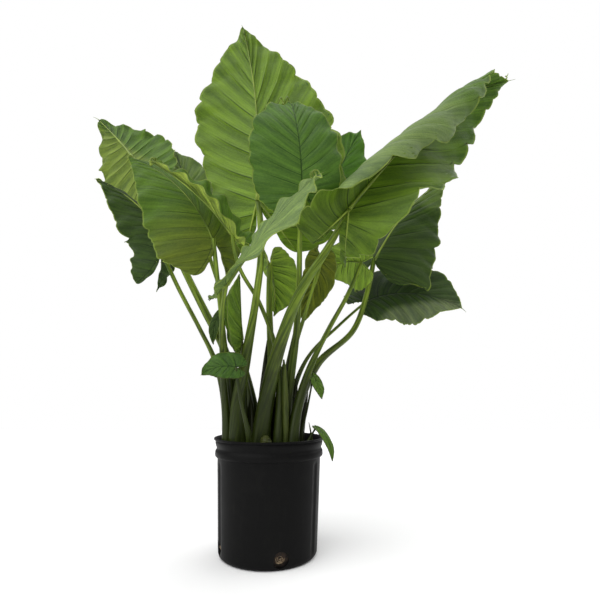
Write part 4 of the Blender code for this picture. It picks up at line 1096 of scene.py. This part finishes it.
def pot_profile():
    """The wall from the middle of the underside, up outside, over the lip and down inside, and
    which of its rows are fluted."""
    body = BODY_TOP_RADIUS
    rows = [(AXIS_HOLE, 0.0012), (0.060, 0.0012), (0.064, 0.0), (BASE_RADIUS - BASE_CORNER - 0.002, 0.0)]
    rows += [(BASE_RADIUS - BASE_CORNER * (1 - math.sin(a)), BASE_CORNER * (1 - math.cos(a)))
             for a in np.linspace(0, math.pi / 2, 7)]
    fluted_from = len(rows)
    wall_low, wall_high = BASE_CORNER + 0.008, BAND_LOW - 0.008
    for height in np.linspace(wall_low, wall_high, 14):
        share = (height - wall_low) / (wall_high - wall_low)
        rows.append((BASE_RADIUS + 0.0006 + (body - BASE_RADIUS - 0.0006) * share, height))
    fluted = range(fluted_from, len(rows))
    rows += [(body + out, BAND_LOW + up) for out, up in BAND_FORM]
    rows += [(body + out, POT_HEIGHT - down) for out, down in BAND_TOP_FORM]
    rows += [(RIM_RADIUS - back, POT_HEIGHT - down) for back, down in LIP_FORM]
    rows += [(body + 0.0030, POT_HEIGHT - 0.0080), (body - WALL, BAND_LOW + 0.004),
             (BASE_RADIUS - WALL - FLUTE_DEPTH, BASE_CORNER + 0.006),
             (BASE_RADIUS - BASE_CORNER, FLOOR), (AXIS_HOLE, FLOOR)]
    return rows, fluted


def build_pot(plastic):
    """The moulded pot, with its drain holes cut through the wall."""
    rows, fluted = pot_profile()
    build = Build()
    build.add(*lathe(rows, POT_STEPS, fluted), 0)
    pot = build.make("pot_fine", [plastic])
    holes = Build()
    for angle in DRAIN_ANGLES:
        turn = math.radians(angle)
        out = np.array((math.cos(turn), math.sin(turn), 0.0))
        path = np.array([out * (BASE_RADIUS + step) for step in DRAIN_CUT])
        path[:, 2] = DRAIN_HEIGHT
        holes.add(*tube(path, (DRAIN_RADIUS,) * len(path), DRAIN_SIDES)[:2], 0)
    cutter = holes.make("drain_cutter", [plastic])
    change = pot.modifiers.new("drain", "BOOLEAN")
    change.operation = "DIFFERENCE"
    change.object = cutter
    change.solver = "EXACT"
    graph = bpy.context.evaluated_depsgraph_get()
    result = bpy.data.meshes.new_from_object(pot.evaluated_get(graph))
    pot.modifiers.clear()
    pot.data = result
    bpy.data.objects.remove(cutter)
    result.set_sharp_from_angle(angle=math.radians(SHARP_ANGLE))
    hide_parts("pot")
    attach(pot, "root")


def soil_radius(height):
    """The pot's inner radius at a height, less the soil's gap to it."""
    heights = (FLOOR, BASE_CORNER + 0.006, BAND_LOW + 0.004, POT_HEIGHT - 0.006)
    radii = (BASE_RADIUS - BASE_CORNER, BASE_RADIUS - WALL - FLUTE_DEPTH,
             BODY_TOP_RADIUS - WALL, BODY_TOP_RADIUS + 0.0060 - WALL)
    return float(np.interp(height, heights, radii)) - SOIL_GAP


def crumb(centre, size, dice):
    """A small lump of peat or bark."""
    steps, rings = 6, 4
    stretch = (dice.uniform(0.6, 1.5), dice.uniform(0.6, 1.2), dice.uniform(0.4, 0.9))
    spin = dice.uniform(0, math.pi)
    points = [(0, 0, -1)]
    for r in range(1, rings):
        lean = math.pi * r / rings
        for k in range(steps):
            turn = TURN * k / steps
            rough = 1 + dice.uniform(-0.25, 0.25)
            points.append((math.sin(lean) * math.cos(turn) * rough,
                           math.sin(lean) * math.sin(turn) * rough, -math.cos(lean) * rough))
    points.append((0, 0, 1))
    points = np.array(points) * stretch * size
    c, s = math.cos(spin), math.sin(spin)
    points = points @ np.array(((c, s, 0), (-s, c, 0), (0, 0, 1))) + centre
    faces = [(0, 1 + (k + 1) % steps, 1 + k) for k in range(steps)]
    faces += ring_faces(rings - 1, steps, 1)
    last = 1 + (rings - 2) * steps
    faces += [(last + k, last + (k + 1) % steps, len(points) - 1) for k in range(steps)]
    return points, faces


def build_soil(peat, root):
    """The soil with a rough, mounded top, loose crumbs, and the roots in the drain holes."""
    dice = random.Random("soil")
    build = Build()
    rows = [(AXIS_HOLE, SOIL_FOOT)]
    rows += [(soil_radius(h), h) for h in np.linspace(SOIL_FOOT, 0.040, 16)]
    rows += [(soil_radius(h), h) for h in np.linspace(0.060, SOIL_TOP, 10)]
    wall_rows = len(rows)
    rows += [(soil_radius(SOIL_TOP) * (1 - r / SOIL_RINGS), SOIL_TOP) for r in range(1, SOIL_RINGS)]
    points, faces = lathe(rows, SOIL_STEPS)
    rough = noise_at(points, 90.0, 3.0) * SOIL_LUMPS + noise_at(points, 260.0, 5.0) * SOIL_GRAIN
    mound = noise_at(points, 22.0, 1.0) * SOIL_MOUNDS
    level = np.arange(len(points)) // SOIL_STEPS >= wall_rows
    points[level, 2] += rough[level] + mound[level]
    wall = (~level) & (points[:, 2] > 0.006) & (points[:, 2] < 0.035)
    outward = points[wall] * (1, 1, 0)
    points[wall] -= unit(outward) * (np.abs(rough[wall]) * 1.2)[:, None]
    build.add(points, faces, 0)
    for k in range(CRUMBS):
        radius = soil_radius(SOIL_TOP) * math.sqrt(dice.uniform(0, 0.96))
        turn = dice.uniform(0, TURN)
        height = SOIL_TOP + dice.uniform(0, CRUMB_RISE)
        centre = np.array((radius * math.cos(turn), radius * math.sin(turn), height))
        build.add(*crumb(centre, dice.uniform(*CRUMB_SIZES), dice), 0)
    for angle in DRAIN_ANGLES:
        add_drain_roots(build, math.radians(angle), dice)
    soil = build.make("soil_fine", [peat, root])
    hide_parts("soil")
    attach(soil, "root")


def add_drain_roots(build, angle, dice):
    """Roots that circle behind one drain hole and show in it."""
    out = np.array((math.cos(angle), math.sin(angle), 0.0))
    along = np.array((-math.sin(angle), math.cos(angle), 0.0))
    t = np.linspace(0, 1, DRAIN_ROOT_RINGS)
    for k in range(DRAIN_ROOTS):
        sway = [dice.uniform(-1, 1) for i in range(5)]
        loop = 0.0030 + 0.0011 * k
        turn = math.pi * sway[0] + TURN * (0.75 + 0.2 * sway[1]) * t
        x = 0.0025 * sway[2] + loop * np.cos(turn)
        z = DRAIN_HEIGHT + 0.0020 * sway[3] + 0.8 * loop * np.sin(turn)
        depth = BASE_RADIUS - 0.0042 - 0.0010 * np.cos(5 * t + sway[4]) - 0.0004 * k
        path = out * depth[:, None] + along * x[:, None] + UP * z[:, None]
        radii = dice.uniform(*DRAIN_ROOT_RADII) * (1 - 0.4 * t)
        add_tube(build, 1, path, radii, DRAIN_ROOT_SIDES)


def build_growth(name, rows, finish, detail):
    """A lumpy shoot through the given places, with their radii."""
    places, radii = (np.array(part) for part in zip(*rows))
    path, length = smooth_path(places * CM, None, GROWTH_STEPS)
    knots = run_along(places)
    radius = np.interp(np.linspace(0, 1, GROWTH_STEPS) * knots[-1], knots, radii * CM)
    radius = np.convolve(np.pad(radius, 3, mode="edge"), np.ones(7) / 7, mode="valid")
    points, faces, flat, wing, high = tube(path, radius, GROWTH_SIDES)
    centre = np.repeat(path, GROWTH_SIDES, axis=0)
    rings = np.sin(70 * high + 6 * noise_at(points, 40.0, 4.0))
    lump = 1 + detail * noise_at(points, 70.0, 2.0) + 0.5 * detail * rings
    points = centre + (points - centre) * lump[:, None]
    build = Build()
    build.add(points, faces, 0, flat=flat, edge=high, vein=wing)
    growth = build.make(name + "_fine", [finish])
    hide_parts(name)
    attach(growth, "root")


def build_old_bases(finish):
    """The dark, withered sheaths of earlier leaves, which close the clump at the soil."""
    build = Build()
    share = np.linspace(0, 1, BASE_STEPS)
    radius = np.interp(share, *zip(*BASE_RADII)) * CM
    for k, (x, y, lean, height) in enumerate(OLD_BASES):
        path = np.stack([x * CM + lean * CM * share ** 1.5, y * CM + 0.5 * lean * CM * share ** 2,
                         SOIL_TOP - BASE_SINK + height * CM * share], 1)
        add_tube(build, 0, path, radius, BASE_SIDES, groove=0.9, toward=(x, y - 1.0, 0.1), seed=k)
    bases = build.make("old_leaf_bases", [finish])
    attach(bases, "root")


def build_studio():
    """A wide pale floor, an even surround that shows as white, and the soft lamps."""
    floor = Build()
    corners = [(x * FLOOR_REACH, y * FLOOR_REACH, 0) for x, y in ((-1, -1), (1, -1), (1, 1), (-1, 1))]
    floor.add(corners, [(0, 1, 2, 3)], 0)
    ground = floor.make("studio_floor", [floor_material()])
    world = bpy.data.worlds.new("studio")
    world.use_nodes = True
    tree = world.node_tree
    around = tree.nodes["Background"]
    backdrop = tree.nodes.new("ShaderNodeBackground")
    for sky, strength in ((around, AMBIENT), (backdrop, 1.0)):
        sky.inputs["Color"].default_value = WHITE
        sky.inputs["Strength"].default_value = strength
    join = tree.nodes.new("ShaderNodeMixShader")
    path = tree.nodes.new("ShaderNodeLightPath")
    tree.links.new(path.outputs["Is Camera Ray"], join.inputs["Fac"])
    tree.links.new(around.outputs["Background"], join.inputs[1])
    tree.links.new(backdrop.outputs["Background"], join.inputs[2])
    tree.links.new(join.outputs["Shader"], tree.nodes["World Output"].inputs["Surface"])
    bpy.context.scene.world = world
    for name, toward, spread, strength in LAMPS:
        data = bpy.data.lights.new(name, "SUN")
        data.angle = math.radians(spread)
        data.energy = strength
        lamp = bpy.data.objects.new(name, data)
        lamp.location = Vector(toward) * LAMP_DISTANCE
        lamp.rotation_euler = (-Vector(toward)).to_track_quat("-Z", "Y").to_euler()
        bpy.context.scene.collection.objects.link(lamp)


def build_camera():
    """The camera that took the photograph, as the pot's outline gives it."""
    data = bpy.data.cameras.new("photo_camera")
    data.sensor_width = SENSOR
    data.lens = SENSOR * FOCAL_PIXELS / IMAGE_PIXELS
    data.dof.use_dof = False
    camera = bpy.data.objects.new("photo_camera", data)
    camera.location = CAMERA_PLACE
    camera.rotation_euler = (math.radians(90 + CAMERA_TILT), 0.0, 0.0)
    bpy.context.scene.collection.objects.link(camera)
    bpy.context.scene.camera = camera


def main():
    build_camera()
    build_studio()
    bpy.context.scene.view_settings.view_transform = "Standard"
    build_pot(pot_material())
    build_soil(soil_material(), root_material())
    stem = stem_material("stem_skin", STEM_TONE)
    rib = stem_material("rib_skin", RIB_TONE)
    for name, (tone, lumps) in GROWTH_SKINS.items():
        build_growth(name, GROWTHS[name], stem_material(name + "_skin", tone, 0.75), lumps)
    build_old_bases(stem_material("old_base_skin", OLD_BASE_TONE, 0.8))
    blades = {}
    for spec in LEAVES:
        tones = LOOKS[spec["name"]][0]
        if tones not in blades:
            chosen = [TONES[tone] for tone in tones.split()]
            reach = TONE_REACH.get(spec["name"], COMMON_REACH)
            blades[tones] = blade_material("blade_" + tones.replace(" ", "_"), reach, *chosen)
        build_leaf(spec, [blades[tones], stem, rib])


main()
